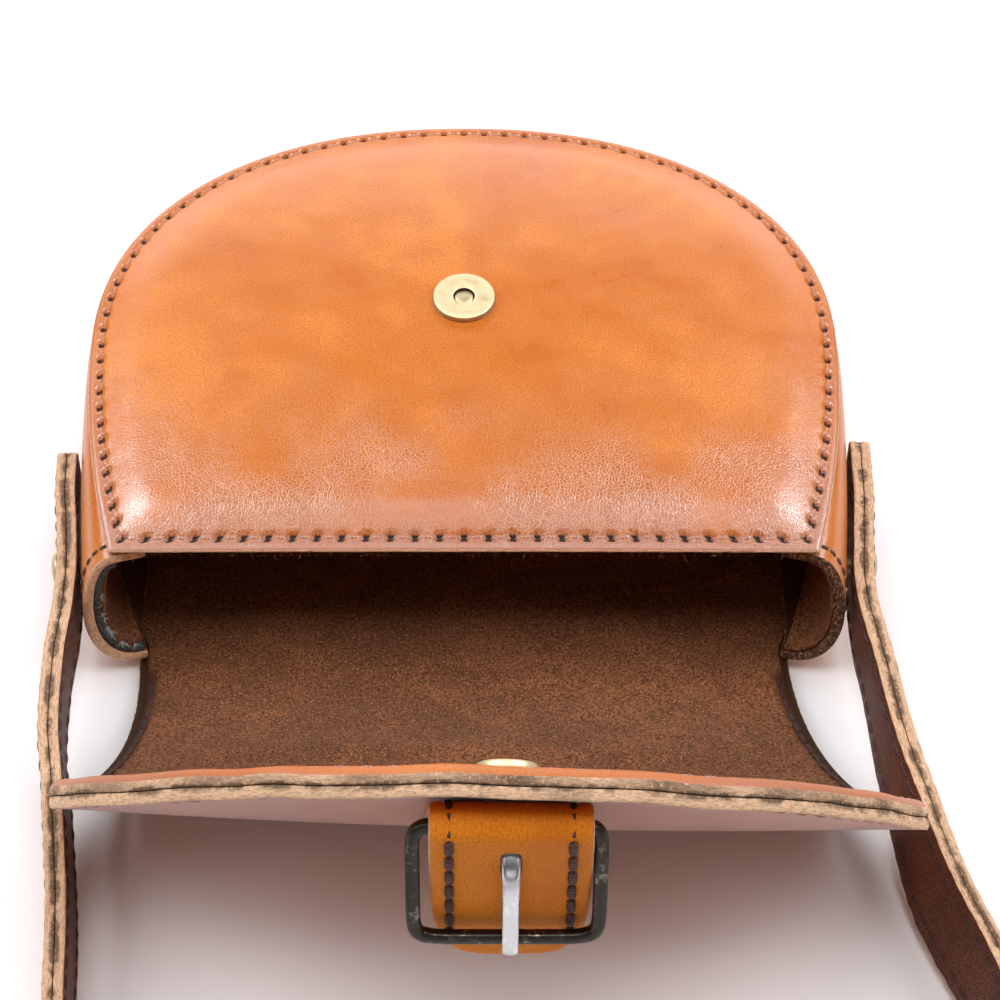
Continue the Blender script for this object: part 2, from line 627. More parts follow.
def thread_piece(name, rows, radius, sink, material):
    """All the stitches of several rows as one piece. Each row is its holes and the leather's normals."""
    points, faces, corners, count = [], [], [], 0
    for holes, normals in rows:
        p, f, c = thread_lengths(holes, normals, radius, sink)
        points.append(p)
        faces.append(f + count)
        corners.append(c)
        count += len(p)
    faces = np.concatenate(faces)
    corners = np.concatenate(corners).reshape(-1, 2)
    return add_piece(name, np.concatenate(points), faces, [0] * len(faces), corners, {}, [material])


def tuft_piece(name, roots, directions, lengths, radius, curl, seed, material):
    """Loose fibres as thin curled spikes that stand on the given roots."""
    rng = np.random.default_rng(seed)
    rings, sides = 5, 3
    t = np.linspace(0, 1, rings)
    bend = rng.normal(0, curl, (len(roots), 2, 3))
    line = roots[:, None] + directions[:, None] * (lengths[:, None] * t)[..., None]
    curve = bend[:, 0, None] * (t**2)[:, None] + bend[:, 1, None] * (t**3)[:, None]
    line = line + curve * lengths[:, None, None]
    angles = np.linspace(0, 2 * math.pi, sides, endpoint=False)
    side = unit(np.cross(directions, rng.normal(0, 1, (len(roots), 3))))
    other = np.cross(directions, side)
    ring = side[:, None] * np.cos(angles)[:, None] + other[:, None] * np.sin(angles)[:, None]
    taper = radius * (1.02 - t)
    points = (line[:, :, None] + ring[:, None] * taper[:, None, None]).reshape(-1, 3)
    one = tube_faces(rings, sides)
    faces = np.concatenate([one + m * rings * sides for m in range(len(roots))])
    return add_piece(name, points, faces, [0] * len(faces), None, {}, [material])


class Recipe:
    """One material, built up from nodes in order."""

    def __init__(self, name):
        self.material = bpy.data.materials.new(name)
        self.material.use_nodes = True
        self.tree = self.material.node_tree
        self.shader = self.tree.nodes["Principled BSDF"]
        self.place = self.node("ShaderNodeTexCoord").outputs["Object"]
        self.dimensions = "3D"

    def node(self, kind, inputs=None, **settings):
        made = self.tree.nodes.new(kind)
        for key, value in settings.items():
            setattr(made, key, value)
        for key, value in (inputs or {}).items():
            self.put(made.inputs[key], value)
        return made

    def put(self, socket, value):
        if isinstance(value, bpy.types.NodeSocket):
            self.tree.links.new(value, socket)
        elif socket.type == "RGBA" and len(value) == 3:
            socket.default_value = (*value, 1)
        else:
            socket.default_value = value

    def set(self, **values):
        """Sets the shader's own sockets, with _ for each space in a name."""
        for key, value in values.items():
            self.put(self.shader.inputs[key.replace("_", " ")], value)
        return self.material

    def flat(self, stretch=(1, 1, 1)):
        """The flat map, in metres along and across the piece."""
        uv = self.node("ShaderNodeUVMap", uv_map="flat").outputs["UV"]
        return self.scaled(uv, stretch)

    def lay_flat(self):
        """Reads the textures that follow on the flat map instead of in space."""
        self.place = self.flat()
        self.dimensions = "2D"

    def scaled(self, place, stretch):
        return self.node("ShaderNodeMapping", {"Vector": place, "Scale": stretch}).outputs["Vector"]

    def noise(self, scale, detail=3.0, rough=0.55, place=None, warp=0.0):
        inputs = {
            "Vector": place or self.place, "Scale": scale, "Detail": detail, "Roughness": rough,
            "Distortion": warp,
        }
        return self.node("ShaderNodeTexNoise", inputs, noise_dimensions=self.dimensions).outputs["Fac"]

    def wandering(self, scale, reach):
        """The texture's place, pushed about by a soft noise."""
        inputs = {"Vector": self.place, "Scale": scale, "Detail": 3.0}
        push = self.node("ShaderNodeTexNoise", inputs, noise_dimensions=self.dimensions).outputs["Color"]
        push = self.node("ShaderNodeVectorMath", {0: push, 1: (reach,) * 3}, operation="MULTIPLY").outputs[0]
        return self.node("ShaderNodeVectorMath", {0: self.place, 1: push}, operation="ADD").outputs[0]

    def cells(self, scale, place):
        """Distance from the edges of scattered cells."""
        inputs = {"Vector": place, "Scale": scale}
        settings = {"feature": "DISTANCE_TO_EDGE", "voronoi_dimensions": self.dimensions}
        return self.node("ShaderNodeTexVoronoi", inputs, **settings).outputs["Distance"]

    def mark(self, name):
        return self.node("ShaderNodeAttribute", attribute_name=name).outputs["Fac"]

    def sum(self, *parts):
        """Adds up values, each given with its weight."""
        total = None
        for value, weight in parts:
            part = self.math("MULTIPLY", value, weight)
            total = part if total is None else self.math("ADD", total, part)
        return total

    def math(self, operation, a, b=0.0):
        return self.node("ShaderNodeMath", {0: a, 1: b}, operation=operation).outputs[0]

    def span(self, value, low, high, to_low=0.0, to_high=1.0):
        """Maps a value's span from low to high onto another span, and holds it there."""
        inputs = {"Value": value, "From Min": low, "From Max": high, "To Min": to_low, "To Max": to_high}
        return self.node("ShaderNodeMapRange", inputs, interpolation_type="SMOOTHSTEP").outputs["Result"]

    def mix(self, share, a, b):
        made = self.node("ShaderNodeMix", data_type="RGBA")
        for index, value in ((0, share), (6, a), (7, b)):
            self.put(made.inputs[index], value)
        return made.outputs[2]

    def bump(self, height, depth, strength=1.0, normal=None):
        inputs = {"Height": height, "Distance": depth, "Strength": strength}
        if normal is not None:
            inputs["Normal"] = normal
        return self.node("ShaderNodeBump", inputs).outputs["Normal"]


def grain_leather(name, mid, deep, light, finish, gloss, wax=0.0, shine=0.55):
    """Glazed hide: soft clouds of colour, fine pores, and creases where the leather is marked for them."""
    r = Recipe(name)
    r.lay_flat()
    clouds = r.sum((r.noise(16, 3), 0.65), (r.noise(70, 3), 0.35))
    base = r.mix(r.span(clouds, 0.34, 0.5), deep, mid)
    base = r.mix(r.span(clouds, 0.5, 0.68), base, light)
    speck = r.noise(1500, 3, 0.8)
    base = r.mix(r.span(speck, 0.34, 0.6, 0.7, 0.0), base, (0.82 * deep[0], 0.62 * deep[1], 0.4 * deep[2]))
    warped = r.wandering(110, 4.5 * MM)
    long = r.scaled(warped, (1, 0.36, 1))
    lines = r.span(r.cells(330, long), 0.0, 0.05, 0.55, 0.0)
    patchy = r.noise(60, 2)
    lines = r.math("MULTIPLY", lines, r.span(patchy, 0.42, 0.62))
    fine = r.span(r.cells(800, long), 0.0, 0.11, 0.75, 0.0)
    lines = r.math("MAXIMUM", lines, r.math("MULTIPLY", fine, r.span(patchy, 0.38, 0.58, 1.0, 0.0)))
    crackle = r.span(r.cells(1050, warped), 0.0, 0.16, 1.0, 0.0)
    crease = r.mark("crease")
    fold = r.math("MULTIPLY", r.math("MAXIMUM", lines, r.math("MULTIPLY", crackle, 0.7)), crease)
    base = r.mix(r.math("MULTIPLY", crease, 0.75), base, toned(deep, 0.66))
    base = r.mix(r.math("MULTIPLY", fold, 0.68), base, finish.crease)
    rubbed = r.math("MULTIPLY", r.mark("bloom"), r.span(speck, 0.25, 0.65, 0.25, 1.0))
    base = r.mix(rubbed, base, finish.bloom)
    hole_along = r.span(r.mark("hole_along"), 0.70, 0.78)
    hole = r.math("MULTIPLY", hole_along, r.span(r.mark("hole_across"), 0.68, 0.77))
    base = r.mix(hole, base, toned(finish.dark_thread, 0.5))
    pores = r.math("MULTIPLY", r.noise(1700, 2, 0.65), r.span(crease, 0.0, 1.0, 0.3, 0.45))
    dents = r.math("MULTIPLY", crackle, r.span(crease, 0.0, 1.0, 0.1, 0.28))
    height = r.math("SUBTRACT", pores, dents)
    rough = r.span(clouds, 0.35, 0.65, gloss, gloss + 0.06)
    r.set(Base_Color=base, Normal=r.bump(height, 0.12 * MM), Roughness=r.math("MAXIMUM", rough, hole))
    r.set(Sheen_Weight=wax, Sheen_Roughness=0.35, Sheen_Tint=(0.93, 0.9, 1))
    return r.set(Specular_IOR_Level=shine)


def cut_leather(name, finish, stain):
    """The cut edge of hide: pale fibres in streaks along the edge, with stained and glued patches."""
    r = Recipe(name)
    along = r.flat((520, 1900, 1))
    streak = r.noise(1, 4, 0.65, along)
    patch = r.noise(90, 3)
    base = r.mix(r.span(streak, 0.3, 0.62, 0.5, 0.0), finish.raw_edge, finish.raw_dark)
    pale = toned(finish.raw_edge, 1.1)
    stained = r.math("MAXIMUM", r.mark("stain"), r.span(patch, 0.56, 0.74, 0.0, stain))
    glue = r.math("MULTIPLY", r.mark("glue"), r.span(r.noise(150, 4, 0.6), 0.32, 0.62, 0.45, 1.2))
    stained = r.math("MAXIMUM", stained, r.span(glue, 0.35, 0.85, 0.0, 0.85))
    black = toned(finish.raw_dark, 0.45)
    dark = r.mix(r.span(r.noise(330, 4, 0.7), 0.42, 0.6), black, finish.raw_dark)
    base = r.mix(stained, base, dark)
    base = r.mix(r.span(r.noise(1000, 3, 0.7), 0.54, 0.72, 0.0, 0.7), base, pale)
    height = r.sum((streak, 0.6), (r.noise(1400, 4, 0.7), 0.6))
    r.set(Base_Color=base, Normal=r.bump(height, 0.7 * MM, 0.9))
    return r.set(Roughness=r.span(streak, 0.3, 0.7, 0.92, 0.74), Specular_IOR_Level=0.25)


def suede(name, light, dark):
    """Short brushed nap, lighter and darker in patches and crossed by faint folds."""
    r = Recipe(name)
    nap = r.noise(1200, 3, 0.8)
    brushed = r.noise(110, 4, 0.6, r.scaled(r.place, (0.6, 1, 1)), 0.8)
    patch = r.sum((r.noise(26, 4), 0.5), (brushed, 0.5))
    base = r.mix(r.span(patch, 0.4, 0.6), dark, light)
    base = r.mix(r.span(nap, 0.41, 0.57, 1.0, 0.0), base, toned(dark, 0.48))
    pale = (1.7 * light[0], 2.0 * light[1], 2.4 * light[2])
    base = r.mix(r.span(r.noise(1650, 2, 0.75), 0.53, 0.7, 0.0, 0.85), base, pale)
    base = r.mix(r.mark("stain"), base, toned(dark, 0.3))
    normal = r.bump(nap, 0.9 * MM, 0.9)
    r.set(Base_Color=base, Normal=normal, Roughness=r.span(nap, 0.3, 0.7, 0.98, 0.86))
    r.set(Sheen_Weight=0.12, Sheen_Roughness=0.5, Sheen_Tint=(0.75, 0.5, 0.36))
    return r.set(Specular_IOR_Level=0.1)


def fibre_board(name, finish):
    """Pressed grey fibres."""
    r = Recipe(name)
    fibre = r.noise(700, 4, 0.7)
    light = toned(finish.board, 1.8)
    base = r.mix(r.span(fibre, 0.4, 0.75), finish.board, light)
    r.set(Base_Color=base, Normal=r.bump(fibre, 0.3 * MM, 0.6))
    return r.set(Roughness=r.span(fibre, 0.3, 0.7, 0.95, 0.8), Specular_IOR_Level=0.25)


def twisted_thread(name, shade, gloss):
    """Waxed thread with a twist that runs round it."""
    r = Recipe(name)
    parts = r.node("ShaderNodeSeparateXYZ", {"Vector": r.flat()})
    turn = r.math("ADD", r.math("MULTIPLY", parts.outputs["X"], 1000.0), parts.outputs["Y"])
    twist = r.math("SINE", r.math("MULTIPLY", turn, 2 * math.pi))
    fuzz = r.noise(2500, 3, 0.6)
    light = tuple(min(1.0, 1.7 * c + 0.01) for c in shade)
    base = r.mix(r.span(twist, -0.6, 1.0, 0.0, 0.7), shade, light)
    dark = toned(shade, 0.45)
    base = r.mix(r.span(fuzz, 0.3, 0.6, 0.5, 0.0), base, dark)
    r.set(Base_Color=base, Normal=r.bump(twist, 0.12 * MM, 0.7, r.bump(fuzz, 0.1 * MM, 0.5)))
    r.set(Roughness=r.span(fuzz, 0.3, 0.7, gloss, gloss + 0.2))
    return r.set(Specular_IOR_Level=0.4)


def brushed_brass(name, shade):
    """Pale brass with fine turned rings, small scratches and a little tarnish."""
    r = Recipe(name)
    reach = r.node("ShaderNodeVectorMath", {0: r.flat()}, operation="LENGTH").outputs["Value"]
    rings = r.math("SINE", r.math("MULTIPLY", reach, 14000.0))
    scratch = r.noise(700, 4, 0.7, r.scaled(r.place, (0.5, 1, 1)))
    tarnish = r.noise(260, 4, 0.65)
    dull = (shade[0] * 0.72, shade[1] * 0.66, shade[2] * 0.56)
    base = r.mix(r.span(tarnish, 0.5, 0.75, 0.0, 0.6), shade, dull)
    height = r.math("ADD", r.math("MULTIPLY", rings, 0.25), scratch)
    r.set(Base_Color=base, Normal=r.bump(height, 0.015 * MM, 0.25), Metallic=1.0)
    return r.set(Roughness=r.span(scratch, 0.3, 0.7, 0.44, 0.54))


def worn_plating(name, shade, worn, finish_rough):
    """Plated metal, rubbed bright in patches and along its scratches."""
    r = Recipe(name)
    rub = r.sum((r.noise(160, 4), 0.6), (r.noise(900, 3, 0.7), 0.4))
    base = r.mix(r.span(rub, 0.52, 0.68), shade, worn)
    r.set(Base_Color=base, Normal=r.bump(r.noise(1200, 3), 0.03 * MM, 0.4), Metallic=1.0)
    return r.set(Roughness=r.span(rub, 0.4, 0.7, finish_rough + 0.14, finish_rough))


def pale_fluff(name):
    """Loose white threads, greyer at random."""
    r = Recipe(name)
    r.set(Base_Color=r.mix(r.noise(400, 2), (0.86, 0.85, 0.84), (0.55, 0.53, 0.5)))
    return r.set(Roughness=r.span(r.noise(900, 2), 0.3, 0.7, 0.8, 0.95), Specular_IOR_Level=0.3)


def material(name, make):
    """The named material, made once, under a name that none of the frame's own materials has."""
    title = name + "_look"
    return bpy.data.materials.get(title) or make(title)


def toned(colour, share):
    """A colour made darker, or brighter up to white."""
    return tuple(min(1.0, share * part) for part in colour)


def leather_set(finish, name, shades, gloss, **more):
    """Grain, cut edge and flesh side of a leather, with its grain's middle, deep and light shades."""
    grain = material(name, lambda n: grain_leather(n, *shades, finish, gloss, **more))
    cut = material("tan_cut", lambda n: cut_leather(n, finish, 0.35))
    flesh = material("dark_flesh", lambda n: suede(n, finish.raw_dark, finish.suede_dark))
    return [grain, cut, flesh]


def tan_set(finish, name="tan_grain", gloss=0.27, **more):
    """The tan leather, with its own gloss unless another is given."""
    return leather_set(finish, name, (finish.tan, finish.tan_deep, finish.tan_light), gloss, **more)


def flap_set(finish):
    """The tan leather with more wax on its grain, for the flap."""
    return tan_set(finish, "waxed_grain", 0.3, wax=0.9)


def facing_set(finish):
    """The tan leather with a duller grain, for the facing inside the flap."""
    return tan_set(finish, "facing_grain", 0.42, shine=0.22)


def tab_set(finish):
    """The tan leather with a duller and brighter grain, for the buckle tab."""
    shades = (finish.tan_light, finish.tan, finish.tan_light)
    return leather_set(finish, "tab_grain", shades, 0.45, shine=0.1)


def dark_set(finish):
    """The dyed leather, with the tan leather's cut edge and flesh side."""
    shades = (finish.dark_leather, toned(finish.dark_leather, 0.5), toned(finish.dark_leather, 1.6))
    return leather_set(finish, "dark_grain", shades, 0.48, shine=0.15)


def suede_set(finish):
    """The suede lining, which has one finish all over."""
    nap = material("brown_suede", lambda n: suede(n, finish.suede, finish.suede_dark))
    return [nap, nap, nap]


def brown_thread(finish):
    return material("brown_thread", lambda n: twisted_thread(n, finish.thread, 0.5))


def dark_thread(finish):
    return material("dark_thread", lambda n: twisted_thread(n, finish.dark_thread, 0.42))


def pale_brass(finish):
    return material("pale_brass", lambda n: brushed_brass(n, finish.brass))


def rows_of_rings(ring_at, insets, shares, centre):
    """Rings on the flat hide from its middle to its edge: scaled ones first, then ones drawn in from it.
    Also how far in from the edge each ring lies, which is only a rough guide for the scaled ones."""
    border = ring_at(insets[-1])
    inner = [centre + share * (border - centre) for share in shares]
    depths = [insets[-1] + (1 - share) * 60 * MM for share in shares]
    return inner + [ring_at(inset) for inset in insets[::-1]], depths + list(insets[::-1])


def spread(first, last, count, power=1.0):
    """Numbers from first to last, closer together towards last where power is under one."""
    return first + (last - first) * np.linspace(0, 1, count) ** power


# How far in from the edge the rings of a sewn border lie, on the face that shows and on a hidden one.
BORDER = np.array([0, 0.3, 0.7, 1.1, 1.5, 1.9, 2.2, 2.55, 2.9, 3.25, 3.6, 4.0, 4.7, 5.8, 7.4, 9.5]) * MM
COARSE = np.array([0, 1.0, 2.6, 6.0]) * MM

# Stitches along the front panel's mouth and round its D, and points of its outline for each.
MOUTH_STITCHES = 28
ROUND_STITCHES = 74
PER_STITCH = 10

FRONT_MIDDLE = 84 * MM
HOLE_DEPTH = 1.2 * MM
MOUTH_THINNED = 2.1 * MM


def front_ring(size, places, inset):
    """The front panel's outline, drawn in: round the D from left to right, and back along the mouth."""
    curve = d_curve(size, places, size.front_mouth, inset)
    mouth = np.linspace(0, 1, MOUTH_STITCHES * PER_STITCH + 1)[1:-1, None]
    return np.concatenate([curve, curve[-1] * (1 - mouth) + curve[0] * mouth])


def near_hole(count):
    """How near each point of the front panel's outline is to a stitch hole, from 0 to 1."""
    step = np.arange(count) % PER_STITCH
    return 1 - np.minimum(step, PER_STITCH - step) * 2 / PER_STITCH


def front_point(size, flat, inset):
    """Points of the front panel's grain side at places on the flat hide."""
    x, y = flat[:, 0], flat[:, 1]
    return np.stack([x, y, front_height(size, x, y, inset)], axis=-1)


def normals_of(point, flat, inset_step=0.5 * MM):
    """Upward normals of a surface that is given as a function of places on the flat hide."""
    right = point(flat + [inset_step, 0]) - point(flat - [inset_step, 0])
    ahead = point(flat + [0, inset_step]) - point(flat - [0, inset_step])
    return unit(np.cross(right, ahead))


def turned_to(normals, aims):
    """The normals, turned over where they point away from their aims."""
    return normals * np.sign(np.sum(normals * aims, axis=1))[:, None]


def front_places(size):
    """Places round the front panel's D, PER_STITCH to a stitch."""
    return even_places(lambda a: d_curve(size, a, size.front_mouth, 0), ROUND_STITCHES * PER_STITCH + 1)


def front_marks(size, ring, inset):
    """Rubbed bloom and creases at a ring of the front panel: both grow towards the mouth."""
    from_mouth = ring[:, 1] - size.mouth_y
    patch = 0.5 + 0.5 * soft_noise(ring[:, 0], ring[:, 1], 14 * MM, 11)
    margin = smooth((size.stitch_inset + 1.5 * MM - inset) / (3 * MM))
    rubbed = 0.45 * np.exp(-from_mouth / (6 * MM)) * (0.5 + patch)
    bloom = clamp01(rubbed + 0.66 * margin * (0.5 + np.exp(-from_mouth / (40 * MM))))
    crease = clamp01(1.7 * np.exp(-from_mouth / (30 * MM)) * (0.3 + 0.9 * patch) - 0.12)
    return bloom, crease * smooth(inset / (0.8 * MM))


def make_front_panel(size, finish):
    """The front panel, with a pit at each stitch hole and its flesh side thinned at the mouth."""
    places = front_places(size)
    centre = np.array([0, size.mouth_y + FRONT_MIDDLE])
    ring_at = lambda d: front_ring(size, places, d)
    flat, depths = rows_of_rings(ring_at, BORDER, spread(0.05, 0.975, 30, 0.8), centre)
    low_flat, low_depths = rows_of_rings(ring_at, COARSE, spread(0.1, 0.96, 9), centre)
    hole = near_hole(len(flat[0]))
    marks = {"bloom": [], "crease": [], "stain": [], "hole_along": [], "hole_across": []}
    top, low = [], []
    for ring, inset in zip(flat, depths):
        near_row = clamp01(1 - abs(inset - size.stitch_inset) / (3 * MM))
        points = front_point(size, ring, inset)
        points[:, 2] -= HOLE_DEPTH * smooth((hole - 0.5) / 0.25) * smooth((near_row - 0.6) / 0.15)
        top.append(points)
        bloom, crease = front_marks(size, ring, inset)
        marks["bloom"].append(bloom)
        marks["crease"].append(crease)
        marks["stain"].append(0.15 * smooth(1 - (ring[:, 1] - size.mouth_y) / (4 * MM)))
        marks["hole_along"].append(hole)
        marks["hole_across"].append(near_row + 0 * hole)
    for ring, inset in zip(low_flat, low_depths):
        points = front_point(size, ring, inset)
        points[:, 2] -= size.leather - MOUTH_THINNED * smooth(1 - (ring[:, 1] - size.mouth_y) / (6 * MM))
        low.append(points)
    piece = leather_piece("front_panel_leather", top, low, tan_set(finish), flat, marks)
    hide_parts("front_panel")
    return piece


def make_front_stitches(size, finish):
    """One row of thread all round the front panel."""
    places = front_places(size)
    ring = front_ring(size, places, size.stitch_inset)
    holes = ring[::PER_STITCH]
    holes = np.concatenate([holes, holes[:1]])
    point = lambda flat: front_point(size, flat, size.stitch_inset)
    rows = [(point(holes) - [0, 0, 0.12 * MM], normals_of(point, holes))]
    piece = thread_piece("front_panel_stitches", rows, size.thread, 2.0 * MM, brown_thread(finish))
    return piece


# Points round the outlines of the flap, of the back under it and under its lining, and of the facing.
FLAP_POINTS, BACK_POINTS, LINING_POINTS, FACING_POINTS = 420, 300, 260, 421

# Where the flap's edge starts to wave, past the hinge, and how far in from its edge it does.
WAVE_FROM, WAVE_OVER, WAVE_REACH = 55 * MM, 20 * MM, 14 * MM

FACING_MIDDLE = 42 * MM
FACING_HOLES = 53
FACING_LOW = 0.25 * MM


def back_ring(size, flap_places, back_places, inset):
    """Outline of the one-piece back and flap on the flat hide: round the flap, then round the back."""
    flap = flap_curve(size, flap_places, inset)
    back = d_curve(size, back_places[::-1], size.back_mouth, inset)
    back[:, 1] = size.hinge_y - back[:, 1]
    return np.concatenate([flap, back])


def rim_wave(flat, inset):
    """How far the flap's rounded edge waves up and down; both of its layers do so together."""
    near = smooth(1 - inset / WAVE_REACH) * smooth((flat[:, 1] - WAVE_FROM) / WAVE_OVER)
    return 0.55 * MM * near * soft_noise(flat[:, 0], flat[:, 1], 15 * MM, 8)


def make_back_flap(size, finish):
    """The back panel and the flap in one piece, darker along the cut edges of its neck."""
    flap_places = even_places(lambda a: flap_curve(size, a, 0), FLAP_POINTS)
    back_places = even_places(lambda a: d_curve(size, a, size.back_mouth, 0), BACK_POINTS)
    ring_at = lambda d: back_ring(size, flap_places, back_places, d)
    flat, depths = rows_of_rings(ring_at, BORDER[::2], spread(0.04, 0.965, 34), np.zeros(2))
    low_flat, low_depths = rows_of_rings(ring_at, BORDER[::3], spread(0.06, 0.95, 20), np.zeros(2))
    top = [back_or_flap_point(size, ring, rim_wave(ring, inset)) for ring, inset in zip(flat, depths)]
    low = []
    for ring, inset in zip(low_flat, low_depths):
        low.append(back_or_flap_point(size, ring, size.leather + rim_wave(ring, inset)))
    bloom, stain = [], []
    for ring, inset in zip(flat, depths):
        past = ring[:, 1]
        bloom.append(0.25 * smooth(1 - inset / (3 * MM)) + 0 * past)
        stain.append(0.85 * smooth((past + 12 * MM) / (10 * MM)) * smooth((72 * MM - past) / (8 * MM)))
    marks = {"bloom": bloom, "stain": stain}
    rim = {"glue": 0.8, "rough": 0.09 * MM}
    piece = leather_piece("back_and_flap_leather", top, low, flap_set(finish), flat, marks, rim=rim)
    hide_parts("back_flap")
    return piece


def facing_ring(size, turns, inset):
    """Outline of the facing on the flap's rounded end: round the end, then straight back."""
    reach = size.flap_length - size.flap_corner - 2 * inset
    x = -(size.flap_half - inset) * np.sign(np.cos(turns)) * np.abs(np.cos(turns)) ** ROUND
    s = size.flap_corner + inset + reach * np.abs(np.sin(turns)) ** ROUND
    curve = np.stack([x, s], axis=-1)
    back = np.linspace(0, 1, 151)[1:-1, None]
    return np.concatenate([curve, curve[-1] * (1 - back) + curve[0] * back])


def facing_turns(size, count):
    """Turns round the facing's rounded end that lie evenly along it."""
    return math.pi * even_places(lambda a: facing_ring(size, math.pi * a, 0)[: len(a)], count)


def make_flap_facing(size, finish):
    """The facing, with a raised lip beside its row of stitches and its edge rolled down."""
    turns = facing_turns(size, FACING_POINTS)
    centre = np.array([0, size.flap_corner + FACING_MIDDLE])
    ring_at = lambda d: facing_ring(size, turns, d)
    flat, depths = rows_of_rings(ring_at, BORDER[::2], spread(0.05, 0.95, 22), centre)
    low_flat, low_depths = rows_of_rings(ring_at, COARSE, spread(0.1, 0.95, 14), centre)
    top = []
    for ring, inset in zip(flat, depths):
        lip = 1.5 * MM * math.exp(-(((inset - 3.2 * MM) / (2.4 * MM)) ** 2))
        roll = 0.9 * MM * math.exp(-inset / (0.7 * MM))
        groove = 0.4 * MM * math.exp(-(((inset - size.stitch_inset) / (0.7 * MM)) ** 2))
        up = 2 * size.leather + GAP + lip - roll - groove + rim_wave(ring, inset)
        top.append(flap_point(size, ring[:, 1], ring[:, 0], up))
    low = []
    for ring, inset in zip(low_flat, low_depths):
        up = size.leather + FACING_LOW + rim_wave(ring, inset)
        low.append(flap_point(size, ring[:, 1], ring[:, 0], up))
    bloom = []
    for ring, inset in zip(flat, depths):
        worn = 0.45 + 0.5 * smooth((np.abs(ring[:, 0] + 15 * MM) - 45 * MM) / (30 * MM))
        bloom.append(clamp01(worn * smooth(1 - (inset - 2 * MM) / (5 * MM))))
    edge = flat[-1]
    stain = [clamp01(0.42 + 0.5 * soft_noise(edge[:, 0], edge[:, 1], 9 * MM, 15))] * len(flat)
    marks = {"bloom": bloom, "stain": stain}
    rim = {"glue": 1.0, "rough": 0.09 * MM}
    piece = leather_piece("flap_facing_leather", top, low, facing_set(finish), flat, marks, rim=rim)
    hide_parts("flap_facing")
    return piece


def make_flap_stitches(size, finish):
    """The row that joins the facing to the flap, seen on both of its sides."""
    turns = facing_turns(size, FACING_HOLES)
    holes = facing_ring(size, turns, size.stitch_inset)[: len(turns)]
    rows = []
    for up, side in ((2 * size.leather + 0.9 * MM, 1), (0.35 * MM, -1)):
        point = lambda flat, up=up: flap_point(size, flat[:, 1], flat[:, 0], up)
        inside = flap_point(size, holes[:, 1], holes[:, 0], 1.0) - point(holes)
        rows.append((point(holes), side * turned_to(normals_of(point, holes), inside)))
    piece = thread_piece("flap_stitches", rows, size.thread, 0.9 * MM, brown_thread(finish))
    return piece


# The back's lining: how far in from the leather's edge it ends, where its faces lie above the leather, and
# its stitches' distance from the neck's edge and from each other.
LINING_INSET = 2.5 * MM
LINING_LOW, LINING_TOP = 0.3 * MM, 1.2 * MM
NECK_INSET, NECK_PITCH = 3.9 * MM, 4.6 * MM


def lining_ring(size, neck, back_places, inset):
    """Outline of the back's lining: across its straight end, down the neck and round the back."""
    past = neck[::-1] * (size.flap_corner - GAP - inset)
    right = np.stack([flap_half_width(size, past) - LINING_INSET - inset, past], axis=-1)
    back = d_curve(size, back_places[::-1], size.back_mouth, LINING_INSET + inset)
    back[:, 1] = size.hinge_y - back[:, 1]
    left = right[::-1] * [-1, 1]
    across = np.linspace(0, 1, 121)[1:-1, None]
    top = left[-1] * (1 - across) + right[0] * across
    return np.concatenate([right, back, left, top])


def make_back_lining(size, finish):
    """The suede on the back and the neck, in low folds, with a lumpy rolled edge along the neck."""
    neck = np.linspace(0, 1, 60)
    back_places = even_places(lambda a: d_curve(size, a, size.back_mouth, 0), LINING_POINTS)
    ring_at = lambda d: lining_ring(size, neck, back_places, d)
    centre = np.array([0, -20 * MM])
    flat, depths = rows_of_rings(ring_at, BORDER[::3], spread(0.02, 0.965, 60), centre)
    low_flat = rows_of_rings(ring_at, COARSE, spread(0.06, 0.95, 16), centre)[0]
    top, stain = [], []
    for ring, inset in zip(flat, depths):
        x, past = ring[:, 0], ring[:, 1]
        fold = clamp01(1 - 4 * np.abs(soft_noise(x / 5, past + 0.08 * x, 9 * MM, 22)))
        wave = 0.25 * MM * soft_noise(x / 4, past, 7 * MM, 21) + 0.4 * MM * fold
        on_neck = smooth(past / (6 * MM)) * smooth((size.flap_corner - past) / (3 * MM))
        lumps = 0.5 + soft_noise(past, x, 3.2 * MM, 23)
        roll = 0.8 * MM * lumps * math.exp(-(((inset - 1.2 * MM) / (1.1 * MM)) ** 2)) * on_neck
        up = size.leather + LINING_TOP + roll + wave * smooth(inset / (8 * MM))
        top.append(back_or_flap_point(size, ring, up))
        stain.append(0.9 * smooth(1 - (inset - 1.2 * MM) / (2 * MM)) * on_neck)
    low = [back_or_flap_point(size, ring, size.leather + LINING_LOW + 0 * ring[:, 0]) for ring in low_flat]
    rim = {"bulge": 0.3 * MM, "rough": 0.12 * MM}
    piece = leather_piece("back_lining_suede", top, low, suede_set(finish), flat, {"stain": stain}, rim=rim)
    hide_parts("back_lining")
    x, past = flat[-1].T
    return piece


def make_neck_stitches(size, finish):
    """A row of dark thread down each side of the flap's neck, through the lining."""
    past = np.arange(5 * MM, size.flap_corner - 3 * MM, NECK_PITCH)
    rows = []
    for side in (-1, 1):
        holes = np.stack([side * (flap_half_width(size, past) - NECK_INSET), past], axis=-1)
        point = lambda flat: flap_point(size, flat[:, 1], flat[:, 0], size.leather + 1.75 * MM)
        above = flap_point(size, past, holes[:, 0], 1.0) - point(holes)
        rows.append((point(holes), turned_to(normals_of(point, holes), above)))
    thread = material("dull_thread", lambda n: twisted_thread(n, finish.dark_thread, 0.85))
    piece = thread_piece("neck_stitches", rows, 0.6 * MM, 0.7 * MM, thread)
    return piece


